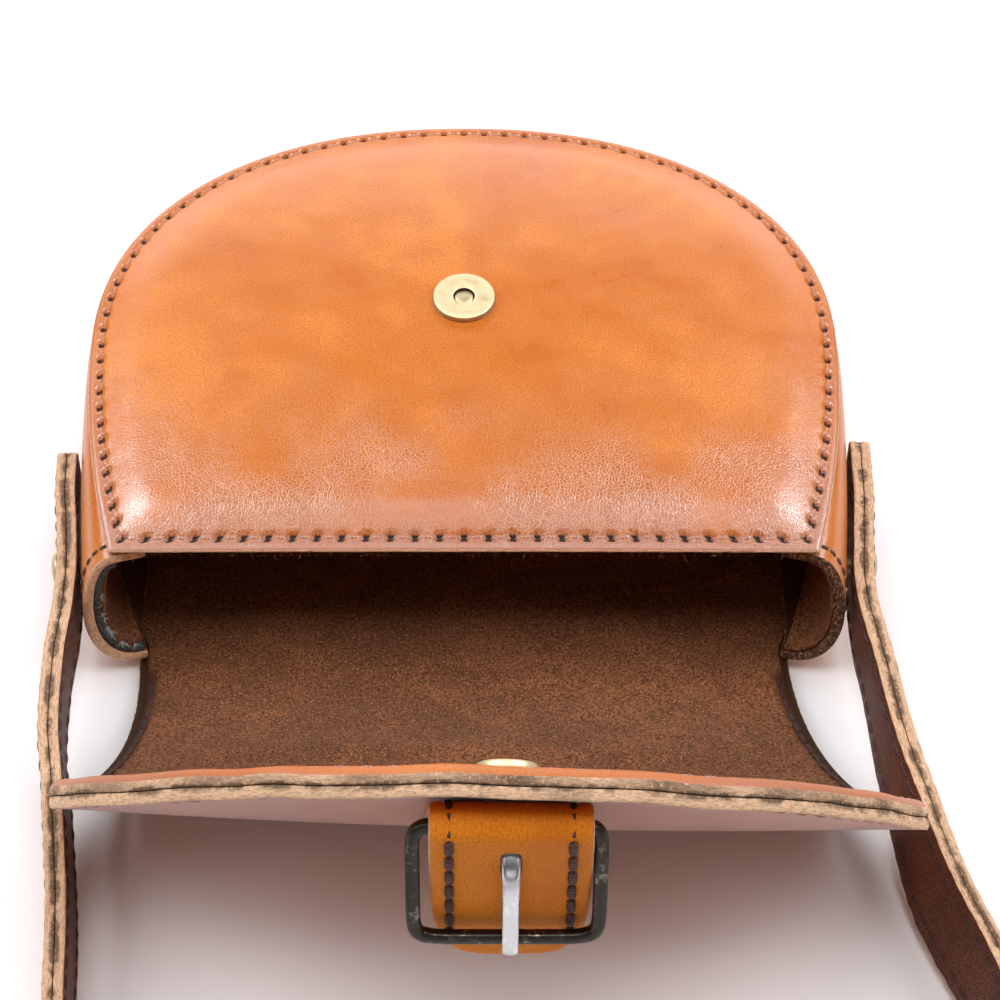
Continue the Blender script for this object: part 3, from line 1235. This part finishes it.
def gusset_places():
    """Places along the gusset, closer together towards both mouth edges."""
    near = [np.linspace(0, 0.012, 14), np.linspace(0.016, 0.08, 22), np.linspace(0.09, 0.5, 90)]
    near = np.concatenate(near)
    return np.concatenate([near, 1 - near[-2::-1]])


def make_gusset(size, finish):
    """The gusset's leather, with dark flange edges and a dark mouth edge at the right."""
    along = gusset_places()
    face = gusset_face(size, along, 0.0, 34, True)
    back = gusset_face(size, along, size.leather, 34, True)
    near_mouth = np.minimum(along, 1 - along)[:, None]
    stain = smooth((along[:, None] - 0.85) / 0.1) + 0 * face[..., 0]
    stain[3:-3, [0, -1]] = 1
    marks = {
        "stain": stain,
        "bloom": 0.25 * smooth(1 - near_mouth / 0.012) + 0 * face[..., 0],
        "crease": 0.15 + 0 * face[..., 0],
    }
    piece = strip_piece("gusset_leather", face, back, tan_set(finish), marks, {"rough": 0.09 * MM})
    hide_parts("gusset")
    return piece


# Where the stiffener and the lining start and end along the gusset, where the lining starts to lie on the
# leather itself, past the stiffener's end, and where the mouth's stitches run.
BOARD_REACH = (0.0012, 0.945)
SUEDE_REACH = (0.0035, 0.9985)
SUEDE_BARE_FROM, SUEDE_BARE_OVER = 0.955, 0.025
SUEDE_THICK = 1.05 * MM
SUEDE_ROWS, BOARD_ROWS = 48, 30
GUSSET_SEWN = 0.0095
BODY_MIDDLE = 27 * MM


def make_gusset_stiffener(size, finish):
    """The grey board behind the gusset's lining, which shows at the left of the mouth."""
    board = material("grey_board", lambda n: fibre_board(n, finish))
    start, end = BOARD_REACH
    reach = start + (end - start) * gusset_places()
    face = gusset_face(size, reach, size.leather + 0.05 * MM, BOARD_ROWS, False)
    back = gusset_face(size, reach, size.leather + 2.3 * MM, BOARD_ROWS, False)
    piece = strip_piece("gusset_stiffener_board", face, back, [board] * 3, rim={"rough": 0.1 * MM})
    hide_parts("gusset_stiffener")
    return piece


def gusset_lining_face(size, reach, thick):
    """A face of the gusset's lining: over the stiffener, and down on the leather past its end."""
    bare = smooth((reach - SUEDE_BARE_FROM) / SUEDE_BARE_OVER)[:, None, None]
    over = gusset_face(size, reach, size.leather + 2.45 * MM + thick, SUEDE_ROWS, False)
    down = gusset_face(size, reach, size.leather + 0.15 * MM + thick, SUEDE_ROWS, False)
    return over * (1 - bare) + down * bare


def make_gusset_lining(size, finish):
    """The suede inside the gusset, torn along its left mouth edge."""
    along = gusset_places()
    start, end = SUEDE_REACH
    reach = start + (end - start) * along
    face, back = (gusset_lining_face(size, reach, thick) for thick in (0, SUEDE_THICK))
    rng = np.random.default_rng(31)
    jumps = rng.normal(0, 1, SUEDE_ROWS + 4)
    ragged = np.convolve(jumps, [0.25, 0.5, 0.5, 0.25, 0], "valid") * 0.9 * MM
    fade = smooth(1 - along / 0.03)[:, None]
    for grid in (face, back):
        grid[..., 1] += ragged[None, :] * fade
    lining = strip_piece("gusset_lining_suede", face, back, suede_set(finish), rim={"rough": 0.12 * MM})
    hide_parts("gusset_lining")
    return lining


def make_gusset_stitches(size, finish):
    """A short row beside each mouth edge of the gusset."""
    rows = []
    for place in (GUSSET_SEWN, 1 - GUSSET_SEWN):
        near = np.array([place - 0.001, place, place + 0.001])
        face = gusset_face(size, near, 0.0, 41, False)[:, 1:23]
        holes = face[1][::3]
        along = face[2] - face[0]
        down = np.gradient(face[1], axis=0)
        outwards = holes - [0, size.mouth_y, BODY_MIDDLE]
        rows.append((holes, turned_to(unit(np.cross(along, down))[::3], outwards)))
    piece = thread_piece("gusset_stitches", rows, 1.5 * size.thread, 0.8 * MM, dark_thread(finish))
    return piece


def flap_normal(size, past, across):
    """The way that the inside of the flap faces at one place."""
    step = 0.5 * MM
    ahead = flap_point(size, past + step, across, 0.0) - flap_point(size, past - step, across, 0.0)
    beside = flap_point(size, past, across + step, 0.0) - flap_point(size, past, across - step, 0.0)
    normal = unit(np.cross(beside, ahead))
    return normal * (1 if normal[2] > 0 else -1)


STUD_PAST = 147 * MM


def make_snap(size, finish):
    """The socket with its pin on the front panel, and the stud on the flap's facing."""
    brass = pale_brass(finish)
    tarnished = material("tarnished_brass", lambda n: brushed_brass(n, toned(finish.brass, 0.1)))
    pin = material("pin_brass", lambda n: brushed_brass(n, toned(finish.brass, 0.72)))
    low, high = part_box("snap_socket")
    seat = ((low.x + high.x) / 2, (low.y + high.y) / 2, low.z + 0.5 * MM)
    r = size.snap_radius / MM
    plate = [(r * 0.5, -0.6), (r, -0.6), (r, 0.85), (r - 0.08, 1.08), (r - 0.2, 1.2), (r - 0.4, 1.25)]
    groove = [(r * 0.37, 1.25), (r * 0.352, 1.2), (r * 0.345, 1.05), (r * 0.345, -0.2), (r * 0.305, -0.2)]
    peg = [(r * 0.30, 0.45), (r * 0.28, 0.58), (r * 0.1, 0.6)]
    finishes = [brass, tarnished, pin]
    bands = [0] * 8 + [1] * 3 + [2] * 2
    socket = turned_piece("snap_socket_brass", plate + groove + peg, seat, (0, 0, 1), finishes, bands)
    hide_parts("snap_socket")
    normal = flap_normal(size, STUD_PAST, 0.0)
    seat = flap_point(size, STUD_PAST, 0.0, 2 * size.leather + 1.5 * MM)
    r = size.stud_radius / MM
    disc = [(r * 0.5, -1.6), (r, -1.6), (r, 1.9), (r - 0.25, 2.4), (r - 0.7, 2.7)]
    boss = [(3.6, 3.0), (3.2, 3.1), (2.8, 3.4), (2.4, 3.5), (1.6, 3.6), (0.8, 3.6)]
    stud = turned_piece("snap_stud_brass", disc + boss, seat, normal, [brass])
    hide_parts("snap_stud")
    return stud


# Where the tab starts and folds over, past the hinge, its clear gap from the flap, the prong's slot in it,
# how far in from its sides its stitches run, and where they start and end along it.
TAB_FROM, TAB_TO = 120 * MM, 159 * MM
TAB_CLEAR = 0.8 * MM
SLOT_FROM_FOLD = 9.5 * MM
SLOT_HALF = np.array([2.7, 5.2]) * MM
TAB_RING = 360
TAB_GROOVE_INSET = 4.6 * MM
TAB_SEWN = (30 * MM, 96 * MM)
TAB_PITCH = 6.2 * MM

# Buckle: half the thickness of its bars, the radius that the tab bends round the heel bar with, the frame's
# size, shift to the left and tilt, and the prong's section.
BAR_HALF = 1.7 * MM
FOLD_RADIUS = BAR_HALF * math.sqrt(2) + GAP
FRAME_WIDTH, FRAME_LENGTH, FRAME_SIDE = 48.5 * MM, 40 * MM, 3.6 * MM
FRAME_SHIFT = 1 * MM
FRAME_TILT = math.radians(14)
PRONG_HALF_WIDTH, PRONG_HALF_THICK = 2.4 * MM, 1.2 * MM
PRONG_STEPS = 60


def tab_bar(size):
    """Middle of the buckle's heel bar, which the tab folds over."""
    return flap_point(size, TAB_TO, 0.0, -(TAB_CLEAR + size.tab_thick + FOLD_RADIUS))


def round_box(half, power, count):
    """Rays all round, and how far along each of them a box with rounded corners lies."""
    angles = np.linspace(0, 2 * math.pi, count, endpoint=False)
    ray = np.stack([np.cos(angles), np.sin(angles)], axis=-1)
    return ray, (np.sum(np.abs(ray / half) ** power, axis=1) ** (-1 / power))[:, None]


def fold_length(size):
    """Length of the tab's fold round the bar, along the middle of its thickness."""
    return (FOLD_RADIUS + size.tab_thick / 2) * (math.pi / 2 + size.flap_rise)


def tab_point(size, along, across, up):
    """A point of the tab: along it from its sewn end, across it, and up to its grain side."""
    along, across, up = np.broadcast_arrays(along, across, up)
    bar = tab_bar(size)
    sewn = TAB_TO - TAB_FROM
    start = math.pi / 2 - size.flap_rise
    fold = fold_length(size)
    on_flap = flap_point(size, TAB_FROM + np.clip(along, 0, sewn), across, up - TAB_CLEAR - size.tab_thick)
    turn = start + (math.pi - start) * clamp01((along - sewn) / fold)
    reach = FOLD_RADIUS + up
    hang = np.maximum(0, along - sewn - fold)
    x = bar[0] + across
    folded = np.stack([x, bar[1] + reach * np.cos(turn), bar[2] + reach * np.sin(turn) - hang], axis=-1)
    share = smooth((along - sewn + 4 * MM) / (8 * MM))[..., None]
    return on_flap * (1 - share) + folded * share


def slot_middle(size):
    return np.array([0, TAB_TO - TAB_FROM + fold_length(size) + SLOT_FROM_FOLD])


def slot_ring(size):
    """The prong's slot in the flat tab."""
    ray, reach = round_box(SLOT_HALF, 4, TAB_RING)
    return slot_middle(size) + ray * reach


def tab_ring(size, inset):
    """The flat tab's outline, drawn in, as a ring about the middle of its slot. Its free end is rounder."""
    centre = slot_middle(size)
    end = TAB_TO - TAB_FROM + fold_length(size) + size.tab_hang
    half = size.tab_width / 2 - inset
    ray = round_box(SLOT_HALF, 4, TAB_RING)[0]
    top = np.where(ray[:, 1] < 0, -(centre[1] - inset), end - inset - centre[1])
    power = np.where(ray[:, 1] < 0, 24.0, 4.0)
    reach = (np.abs(ray[:, 0] / half) ** power + np.abs(ray[:, 1] / top) ** power) ** (-1 / power)
    return centre + ray * reach[:, None]


def make_buckle_tab(size, finish):
    """The tab, sewn to the flap and folded over the buckle's bar, with grooves under its stitches."""
    slot, inner = slot_ring(size), tab_ring(size, 2.2 * MM)
    shares = np.concatenate([[0, 0.004, 0.012, 0.025, 0.05, 0.09], np.linspace(0.14, 0.985, 34)])
    borders = np.array([2.2, 1.5, 1.0, 0.6, 0.25, 0.0]) * MM
    flat = [slot + share * (inner - slot) for share in shares] + [tab_ring(size, inset) for inset in borders]
    insets = [5 * MM] * len(shares) + list(borders)
    groove_at = size.tab_width / 2 - TAB_GROOVE_INSET
    top, low, bloom = [], [], []
    for ring, inset in zip(flat, insets):
        groove = 0.35 * MM * np.exp(-(((np.abs(ring[:, 0]) - groove_at) / (1.3 * MM)) ** 2))
        roll = 0.5 * MM * math.exp(-inset / (0.5 * MM))
        top.append(tab_point(size, ring[:, 1], ring[:, 0], size.tab_thick - groove - roll))
        low.append(tab_point(size, ring[:, 1], ring[:, 0], 0.0))
        bloom.append(0.4 * smooth(1 - inset / (1.2 * MM)) + 0 * ring[:, 0])
    low = low[::3] + [low[-2], low[-1]]
    marks, rim = {"bloom": bloom}, {"bulge": 0.25 * MM}
    piece = leather_piece("buckle_tab_leather", top, low, tab_set(finish), flat, marks, hole=True, rim=rim)
    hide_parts("buckle_tab")
    return piece


def make_tab_stitches(size, finish):
    """A row of thick thread along each side of the tab."""
    along = np.arange(*TAB_SEWN, TAB_PITCH)
    point = lambda flat: tab_point(size, flat[:, 1], flat[:, 0], size.tab_thick - 0.2 * MM)
    rows = []
    for side in (-1, 1):
        holes = np.stack([0 * along + side * (size.tab_width / 2 - TAB_GROOVE_INSET), along], axis=-1)
        above = tab_point(size, along, holes[:, 0], size.tab_thick + MM) - point(holes)
        rows.append((point(holes), turned_to(normals_of(point, holes), above)))
    stitches = thread_piece("buckle_tab_stitches", rows, 1.15 * MM, 0.9 * MM, dark_thread(finish))
    return stitches


def buckle_place(size, points):
    """Turns points drawn in the buckle's own plane into place: across, up from the bar, and out."""
    tilt = math.pi / 2 - FRAME_TILT
    x, y, z = points[..., 0], points[..., 1], points[..., 2]
    turned = [x, y * math.cos(tilt) - z * math.sin(tilt), y * math.sin(tilt) + z * math.cos(tilt)]
    return np.stack(turned, axis=-1) + tab_bar(size)


def smooth_line(points, count):
    """A smooth line through a few points."""
    p = np.asarray(points, float)
    p = np.concatenate([[2 * p[0] - p[1]], p, [2 * p[-1] - p[-2]]])
    at = np.linspace(0, len(p) - 3, count)
    i = np.minimum(at.astype(int), len(p) - 4)
    w = (at - i)[:, None]
    a, b, c, d = (p[i + k] for k in range(4))
    return 0.5 * (2 * b + (c - a) * w + (2 * a - 5 * b + 4 * c - d) * w**2 + (3 * b - a - 3 * c + d) * w**3)


def make_buckle_frame(size, finish):
    """The dark frame: one bar of a rounded square section, bent round into a loop."""
    half = np.array([FRAME_WIDTH / 2 - FRAME_SIDE / 2, FRAME_LENGTH / 2 - BAR_HALF])
    ray, reach = round_box(half, 9, 200)
    loop = ray * reach
    level = 0 * loop[:, 0]
    line = np.stack([loop[:, 0] - FRAME_SHIFT, loop[:, 1] - FRAME_LENGTH / 2 + BAR_HALF, level], axis=-1)
    run = unit(np.roll(line, -1, 0) - np.roll(line, 1, 0))
    out = np.stack([run[:, 1], -run[:, 0], level], axis=-1)
    around = np.linspace(0, 2 * math.pi, 20, endpoint=False)
    sideways, upwards = (np.sign(part) * np.abs(part) ** 0.7 for part in (np.cos(around), np.sin(around)))
    wide = np.where(np.abs(loop[:, :1]) > FRAME_WIDTH / 2 - 6 * MM, FRAME_SIDE / 2, BAR_HALF)
    rings = line[:, None] + out[:, None] * (wide * sideways)[..., None]
    rings = rings + np.array([0, 0, 1.0]) * (BAR_HALF * upwards)[None, :, None]
    worn = toned(finish.antique, 5)
    plating = material("antique_plating", lambda n: worn_plating(n, finish.antique, worn, 0.24))
    piece = tube_piece("buckle_frame_metal", buckle_place(size, rings), [plating], closed=True)
    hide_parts("buckle_frame")
    return piece


def make_buckle_prong(size, finish):
    """The bright prong, which passes through the tab's slot onto the frame's front bar."""
    bar = FRAME_LENGTH - 2 * BAR_HALF
    rest = BAR_HALF + 1.4 * MM
    bends = [(-3.1 * MM, -1.0 * MM), (-6.4 * MM, 1.2 * MM), (-10.2 * MM, 4.6 * MM), (-15 * MM, 5.8 * MM)]
    bends += [(-24 * MM, rest + 1.6 * MM), (-bar, rest), (-bar - 3 * MM, rest)]
    route = smooth_line([(0, up, out) for up, out in bends], PRONG_STEPS)
    t = np.linspace(0, 1, PRONG_STEPS)
    taper = np.where(t > 0.96, np.sqrt(np.maximum(0.02, (1 - t) / 0.04)), 1.0) * (1 - 0.2 * t)
    across = np.tile([1.0, 0, 0], (PRONG_STEPS, 1))
    rings = tube_points(route, PRONG_HALF_WIDTH * taper, PRONG_HALF_THICK * taper, across, 18)
    bright = toned(finish.steel, 1.25)
    steel = material("bright_steel", lambda n: worn_plating(n, finish.steel, bright, 0.2))
    piece = tube_piece("buckle_prong_metal", buckle_place(size, rings), [steel])
    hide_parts("buckle_prong")
    return piece


STRAP_STEPS = 640
STRAP_HOLES = 158
STRAP_SEWN_INSET = 3.2 * MM
STRAP_END_ROUND = 3.4 * MM
STRAP_ACROSS = (-1, -0.97, -0.9, -0.78, -0.6, -0.3, 0, 0.3, 0.6, 0.78, 0.9, 0.97, 1)


def strap_wave(run):
    """How far the strap waves outwards, along its run; its layers and stitches do so together."""
    return 0.32 * MM * soft_noise(run, run * 0, 13 * MM, 42)


def strap_grid(size, offset, seed):
    """One face of a strap layer, at an offset outwards from the strap's middle, with an uneven edge."""
    places = np.linspace(0, 1, STRAP_STEPS)
    point, up, side = strap_frames(places)
    run = run_along(point)
    from_end = np.minimum(run, run[-1] - run)
    half = size.strap_width / 2 - STRAP_END_ROUND * (1 - np.sqrt(clamp01(from_end / STRAP_END_ROUND)))
    scallop = 0.22 * MM * (np.abs(np.sin(math.pi * run / (6.5 * MM))) - 0.6)
    shift = (offset + strap_wave(run))[:, None]
    rows = []
    for share in STRAP_ACROSS:
        uneven = (0.30 * MM * soft_noise(run, run * 0 + share, 3.2 * MM, seed) + scallop) * abs(share) ** 8
        rows.append(point + up * (share * half + np.sign(share) * uneven)[:, None] - side * shift)
    grid = np.stack(rows, axis=1)
    grid[..., 2] = np.maximum(grid[..., 2], 0.05 * MM)
    return grid


def make_strap(size, finish):
    """Both layers of the shoulder strap, back to back."""
    near, far = 0.12 * MM, size.strap_layer + 0.15 * MM
    rim = {"rough": 0.14 * MM, "bulge": 0.25 * MM, "glue": 1.0}
    made = []
    for name, node, sign, set_of, slot in (
        ("strap_outer_leather", "strap_outer", 1, tan_set, "tan_leather"),
        ("strap_inner_leather", "strap_inner", -1, dark_set, "dark_leather"),
    ):
        face = strap_grid(size, sign * far, 41)
        back = strap_grid(size, sign * near, 41)
        marks = {"bloom": 0.0, "crease": 0.2, "stain": 0.0}
        piece = strip_piece(name, face, back, set_of(finish), marks, rim)
        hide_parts(node)
        made.append(piece)
    return made


def make_strap_stitches(size, finish):
    """Two rows along each side of the strap."""
    places = even_places(lambda a: strap_frames(a)[0], STRAP_HOLES)[1:-1]
    point, up, side = strap_frames(places)
    run = run_along(point)
    run += np.linalg.norm(point[0] - strap_frames(np.zeros(1))[0][0])
    rows = []
    for sign in (-1, 1):
        for edge in (-1, 1):
            shift = sign * (size.strap_layer + 0.02 * MM) + strap_wave(run)
            holes = point + up * edge * (size.strap_width / 2 - STRAP_SEWN_INSET) - side * shift[:, None]
            rows.append((holes, -side * sign))
    piece = thread_piece("strap_stitches", rows, 0.62 * MM, 0.8 * MM, dark_thread(finish))
    return piece


def make_rivets(size, finish):
    """Domed rivets with their posts through the strap's ends."""
    post = [(0.9, -5.5), (1.7, -5.4), (1.8, -5.0), (1.8, 2.7)]
    head = [(4.5, 2.75), (4.6, 3.1), (4.5, 3.6), (4.0, 4.05), (3.2, 4.45), (2.2, 4.72), (1.0, 4.85)]
    brass = [pale_brass(finish)]
    for name, row in RIVET_ROWS.items():
        place = np.array([row / (len(STRAP_ROUTE["x"]) - 1)])
        point, _, side = strap_frames(place)
        piece = turned_piece(name + "_brass", post + head, point[0], -side[0], brass, segments=48)
        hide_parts(name)
    return piece


EDGE_ROWS = 121


def mouth_fibres(size, rng, raw):
    """Short fibres under the front panel's mouth edge."""
    count = 130
    x = rng.uniform(-0.94, 0.94, count) * size.front_mouth
    z = size.depth - size.leather + rng.uniform(-0.1, 0.9, count) * MM
    roots = np.stack([x, size.mouth_y + 0.1 * MM + 0 * x, z], axis=-1)
    aim = unit(np.stack([rng.normal(0, 0.5, count), -1 + 0 * x, rng.normal(-0.6, 0.5, count)], axis=-1))
    lengths = rng.uniform(0.3, 1.0, count) * MM
    return tuft_piece("mouth_edge_fibres", roots, aim, lengths, 0.06 * MM, 0.6, 5, raw)


def gusset_fibres(size, rng, raw):
    """Short fibres on the gusset's right mouth edge."""
    count = 420
    place = np.array([0.9996])
    edge = gusset_face(size, place, 0.6 * MM, EDGE_ROWS, False)[0]
    pick = rng.integers(10, 112, count)
    inwards = gusset_face(size, place, size.leather, EDGE_ROWS, False)[0, pick]
    roots = edge[pick] + rng.uniform(0, 1, count)[:, None] * (inwards - edge[pick])
    aim = unit(rng.normal(0, 0.7, (count, 3)) + [0, -1, 0])
    lengths = rng.uniform(0.3, 0.9, count) * MM
    return tuft_piece("gusset_edge_fibres", roots, aim, lengths, 0.09 * MM, 0.7, 9, raw)


def gusset_fluff(size, rng, fluff):
    """White fluff in clumps along the torn lining at the gusset's left mouth edge."""
    count = 900
    section = gusset_face(size, np.array([0.0012, 0.004]), size.leather + 2.4 * MM, EDGE_ROWS, False)
    pick = (rng.beta(1.6, 1.2, count) * 74 + 42).astype(int)
    share = rng.uniform(0, 1, count)[:, None] ** 2
    roots = section[0, pick] * (1 - share) + section[1, pick] * share
    clump = np.sin(pick * 0.33) + np.sin(pick * 0.83 + 1)
    keep = clump + rng.normal(0, 0.5, count) > 0.3
    roots = roots[keep]
    aim = rng.normal(0, 1, (len(roots), 3)) * [0.7, 0.5, 0.9] + [0.3, -0.8, 0.1]
    lengths = rng.uniform(0.4, 1.2, len(roots)) * MM
    return tuft_piece("gusset_edge_fluff", roots, unit(aim), lengths, 0.11 * MM, 0.7, 6, fluff)


def make_fibres(size, finish):
    """Loose fibres on the cut edges. One run of random numbers goes through all of them in order."""
    rng = np.random.default_rng(RNG_SEED)
    raw = material("tan_cut", lambda n: cut_leather(n, finish, 0.35))
    mouth_fibres(size, rng, raw)
    gusset_fibres(size, rng, raw)
    return gusset_fluff(size, rng, material("white_fluff", pale_fluff))


FLOOR_REACH = 6.0
SOFT_WHITE = (0.97, 0.975, 1)
CAMERA_PLACE = (0, -0.6221, 0.7288)
CAMERA_TILT = math.radians(39.36)
CAMERA_LENS, CAMERA_SENSOR = 115.2, 36
CAMERA_SHIFT = 0.036


def area_light(name, place, aim, size_x, size_y, watts, tint=SOFT_WHITE):
    """An oblong light at a place, turned to its aim; sizes in metres."""
    light = bpy.data.lights.new(name, "AREA")
    light.shape = "RECTANGLE"
    light.size = size_x
    light.size_y = size_y
    light.energy = watts
    light.color = tint
    lamp = bpy.data.objects.new(name, light)
    lamp.location = place
    lamp.rotation_euler = (Vector(aim) - Vector(place)).to_track_quat("-Z", "Y").to_euler()
    bpy.context.scene.collection.objects.link(lamp)
    return lamp


def make_floor():
    """A wide sheet of pale paper."""
    corners = [(x * FLOOR_REACH, y * FLOOR_REACH, 0) for x, y in ((-1, -1), (1, -1), (1, 1), (-1, 1))]
    mesh = bpy.data.meshes.new("floor")
    mesh.from_pydata(corners, [], [(0, 1, 2, 3)])
    floor = bpy.data.objects.new("floor", mesh)
    bpy.context.scene.collection.objects.link(floor)
    r = Recipe("floor_paper")
    r.set(Base_Color=r.mix(r.noise(900, 2), (0.985, 0.985, 0.99), (0.965, 0.965, 0.97)))
    mesh.materials.append(r.set(Roughness=0.75, Specular_IOR_Level=0.2))


def make_lights():
    """Soft boxes above, behind, in front and at both sides, and two kickers for the corners' highlights."""
    area_light("overhead_softbox", (0, -0.16, 1.5), (0, -0.1, 0), 1.2, 0.9, 14)
    area_light("back_softbox", (0, 1.7, 0.78), (0, 0, 0.1), 2.4, 0.76, 26, (1, 0.95, 0.985))
    area_light("front_fill", (0, -1.5, 0.55), (0, -0.2, 0.06), 1.8, 0.25, 2.4)
    for side in (-1, 1):
        area_light("side_softbox", (side * 1.05, -0.1, 0.9), (0, -0.1, 0.05), 0.7, 0.9, 8.5)
        place, aim = (side * 0.9, 0.44, 1.36), (0, -0.05, 0.05)
        kicker = area_light("kicker", place, aim, 0.28, 0.28, 27, (0.88, 0.93, 1))
        kicker.visible_diffuse = False
    world = bpy.data.worlds.new("studio")
    world.use_nodes = True
    sky = world.node_tree.nodes["Background"].inputs
    sky["Color"].default_value = (1, 0.97, 0.985, 1)
    sky["Strength"].default_value = 0.07
    bpy.context.scene.world = world


def make_camera():
    """The camera at the photograph's angle."""
    scene = bpy.context.scene
    scene.view_settings.view_transform = "Standard"
    camera = bpy.data.objects.new("camera", bpy.data.cameras.new("camera"))
    scene.collection.objects.link(camera)
    camera.data.sensor_width = CAMERA_SENSOR
    camera.data.lens = CAMERA_LENS
    camera.data.shift_x = CAMERA_SHIFT
    camera.location = CAMERA_PLACE
    camera.rotation_euler = (CAMERA_TILT, 0, 0)
    scene.camera = camera


class BagOperator:
    """What the bag's operators share: each makes its pieces from the scene's sizes and colours."""

    bl_options = {"REGISTER", "UNDO"}

    def execute(self, context):
        size, finish = context.scene.saddle_bag_sizes, context.scene.saddle_bag_finish
        for make in self.makes:
            make(size, finish)
        return {"FINISHED"}


class BAG_OT_front(BagOperator, bpy.types.Operator):
    """Make the swelling front panel and the stitches round it"""

    bl_idname = "saddle_bag.front"
    bl_label = "Front Panel"
    makes = (make_front_panel, make_front_stitches)


class BAG_OT_back(BagOperator, bpy.types.Operator):
    """Make the one-piece back and flap, its facing, its lining and its stitches"""

    bl_idname = "saddle_bag.back"
    bl_label = "Back and Flap"
    makes = (make_back_flap, make_flap_facing, make_flap_stitches, make_back_lining, make_neck_stitches)


class BAG_OT_gusset(BagOperator, bpy.types.Operator):
    """Make the bowed gusset with its stiffener, lining and stitches"""

    bl_idname = "saddle_bag.gusset"
    bl_label = "Gusset"
    makes = (make_gusset, make_gusset_stiffener, make_gusset_lining, make_gusset_stitches)


class BAG_OT_snap(BagOperator, bpy.types.Operator):
    """Make both halves of the magnetic snap"""

    bl_idname = "saddle_bag.snap"
    bl_label = "Magnetic Snap"
    makes = (make_snap,)


class BAG_OT_buckle(BagOperator, bpy.types.Operator):
    """Make the buckle and the sewn tab that holds it"""

    bl_idname = "saddle_bag.buckle"
    bl_label = "Buckle and Tab"
    makes = (make_buckle_tab, make_tab_stitches, make_buckle_frame, make_buckle_prong)


class BAG_OT_strap(BagOperator, bpy.types.Operator):
    """Make the shoulder strap's two layers, its stitches and its rivets"""

    bl_idname = "saddle_bag.strap"
    bl_label = "Shoulder Strap"
    makes = (make_strap, make_strap_stitches, make_rivets)


class BAG_OT_fibres(BagOperator, bpy.types.Operator):
    """Make the loose fibres on the cut edges"""

    bl_idname = "saddle_bag.fibres"
    bl_label = "Loose Fibres"
    makes = (make_fibres,)


class BAG_OT_stage(bpy.types.Operator):
    """Make the floor, the lights and the camera"""

    bl_idname = "saddle_bag.stage"
    bl_label = "Stage"
    bl_options = {"REGISTER", "UNDO"}

    def execute(self, context):
        make_floor()
        make_lights()
        make_camera()
        return {"FINISHED"}


OPERATORS = (
    BAG_OT_stage, BAG_OT_front, BAG_OT_back, BAG_OT_gusset, BAG_OT_snap, BAG_OT_buckle, BAG_OT_strap,
    BAG_OT_fibres,
)


class BAG_PT_sidebar(bpy.types.Panel):
    """Lists the bag's pieces, sizes and colours"""

    bl_idname = "BAG_PT_sidebar"
    bl_label = "Saddle Bag"
    bl_space_type = "VIEW_3D"
    bl_region_type = "UI"
    bl_category = "Saddle Bag"

    def draw(self, context):
        for operator in OPERATORS:
            self.layout.operator(operator.bl_idname)
        for group in (context.scene.saddle_bag_sizes, context.scene.saddle_bag_finish):
            box = self.layout.box()
            for name in group.__annotations__:
                box.prop(group, name)


CLASSES = (BagSizes, BagFinish, *OPERATORS, BAG_PT_sidebar)


def register():
    for cls in CLASSES:
        bpy.utils.register_class(cls)
    bpy.types.Scene.saddle_bag_sizes = PointerProperty(type=BagSizes)
    bpy.types.Scene.saddle_bag_finish = PointerProperty(type=BagFinish)


def unregister():
    del bpy.types.Scene.saddle_bag_finish
    del bpy.types.Scene.saddle_bag_sizes
    for cls in reversed(CLASSES):
        bpy.utils.unregister_class(cls)


def main():
    register()
    bpy.ops.saddle_bag.stage()
    bpy.ops.saddle_bag.front()
    bpy.ops.saddle_bag.back()
    bpy.ops.saddle_bag.gusset()
    bpy.ops.saddle_bag.snap()
    bpy.ops.saddle_bag.buckle()
    bpy.ops.saddle_bag.strap()
    bpy.ops.saddle_bag.fibres()
    bpy.context.view_layer.update()


if __name__ == "__main__":
    main()
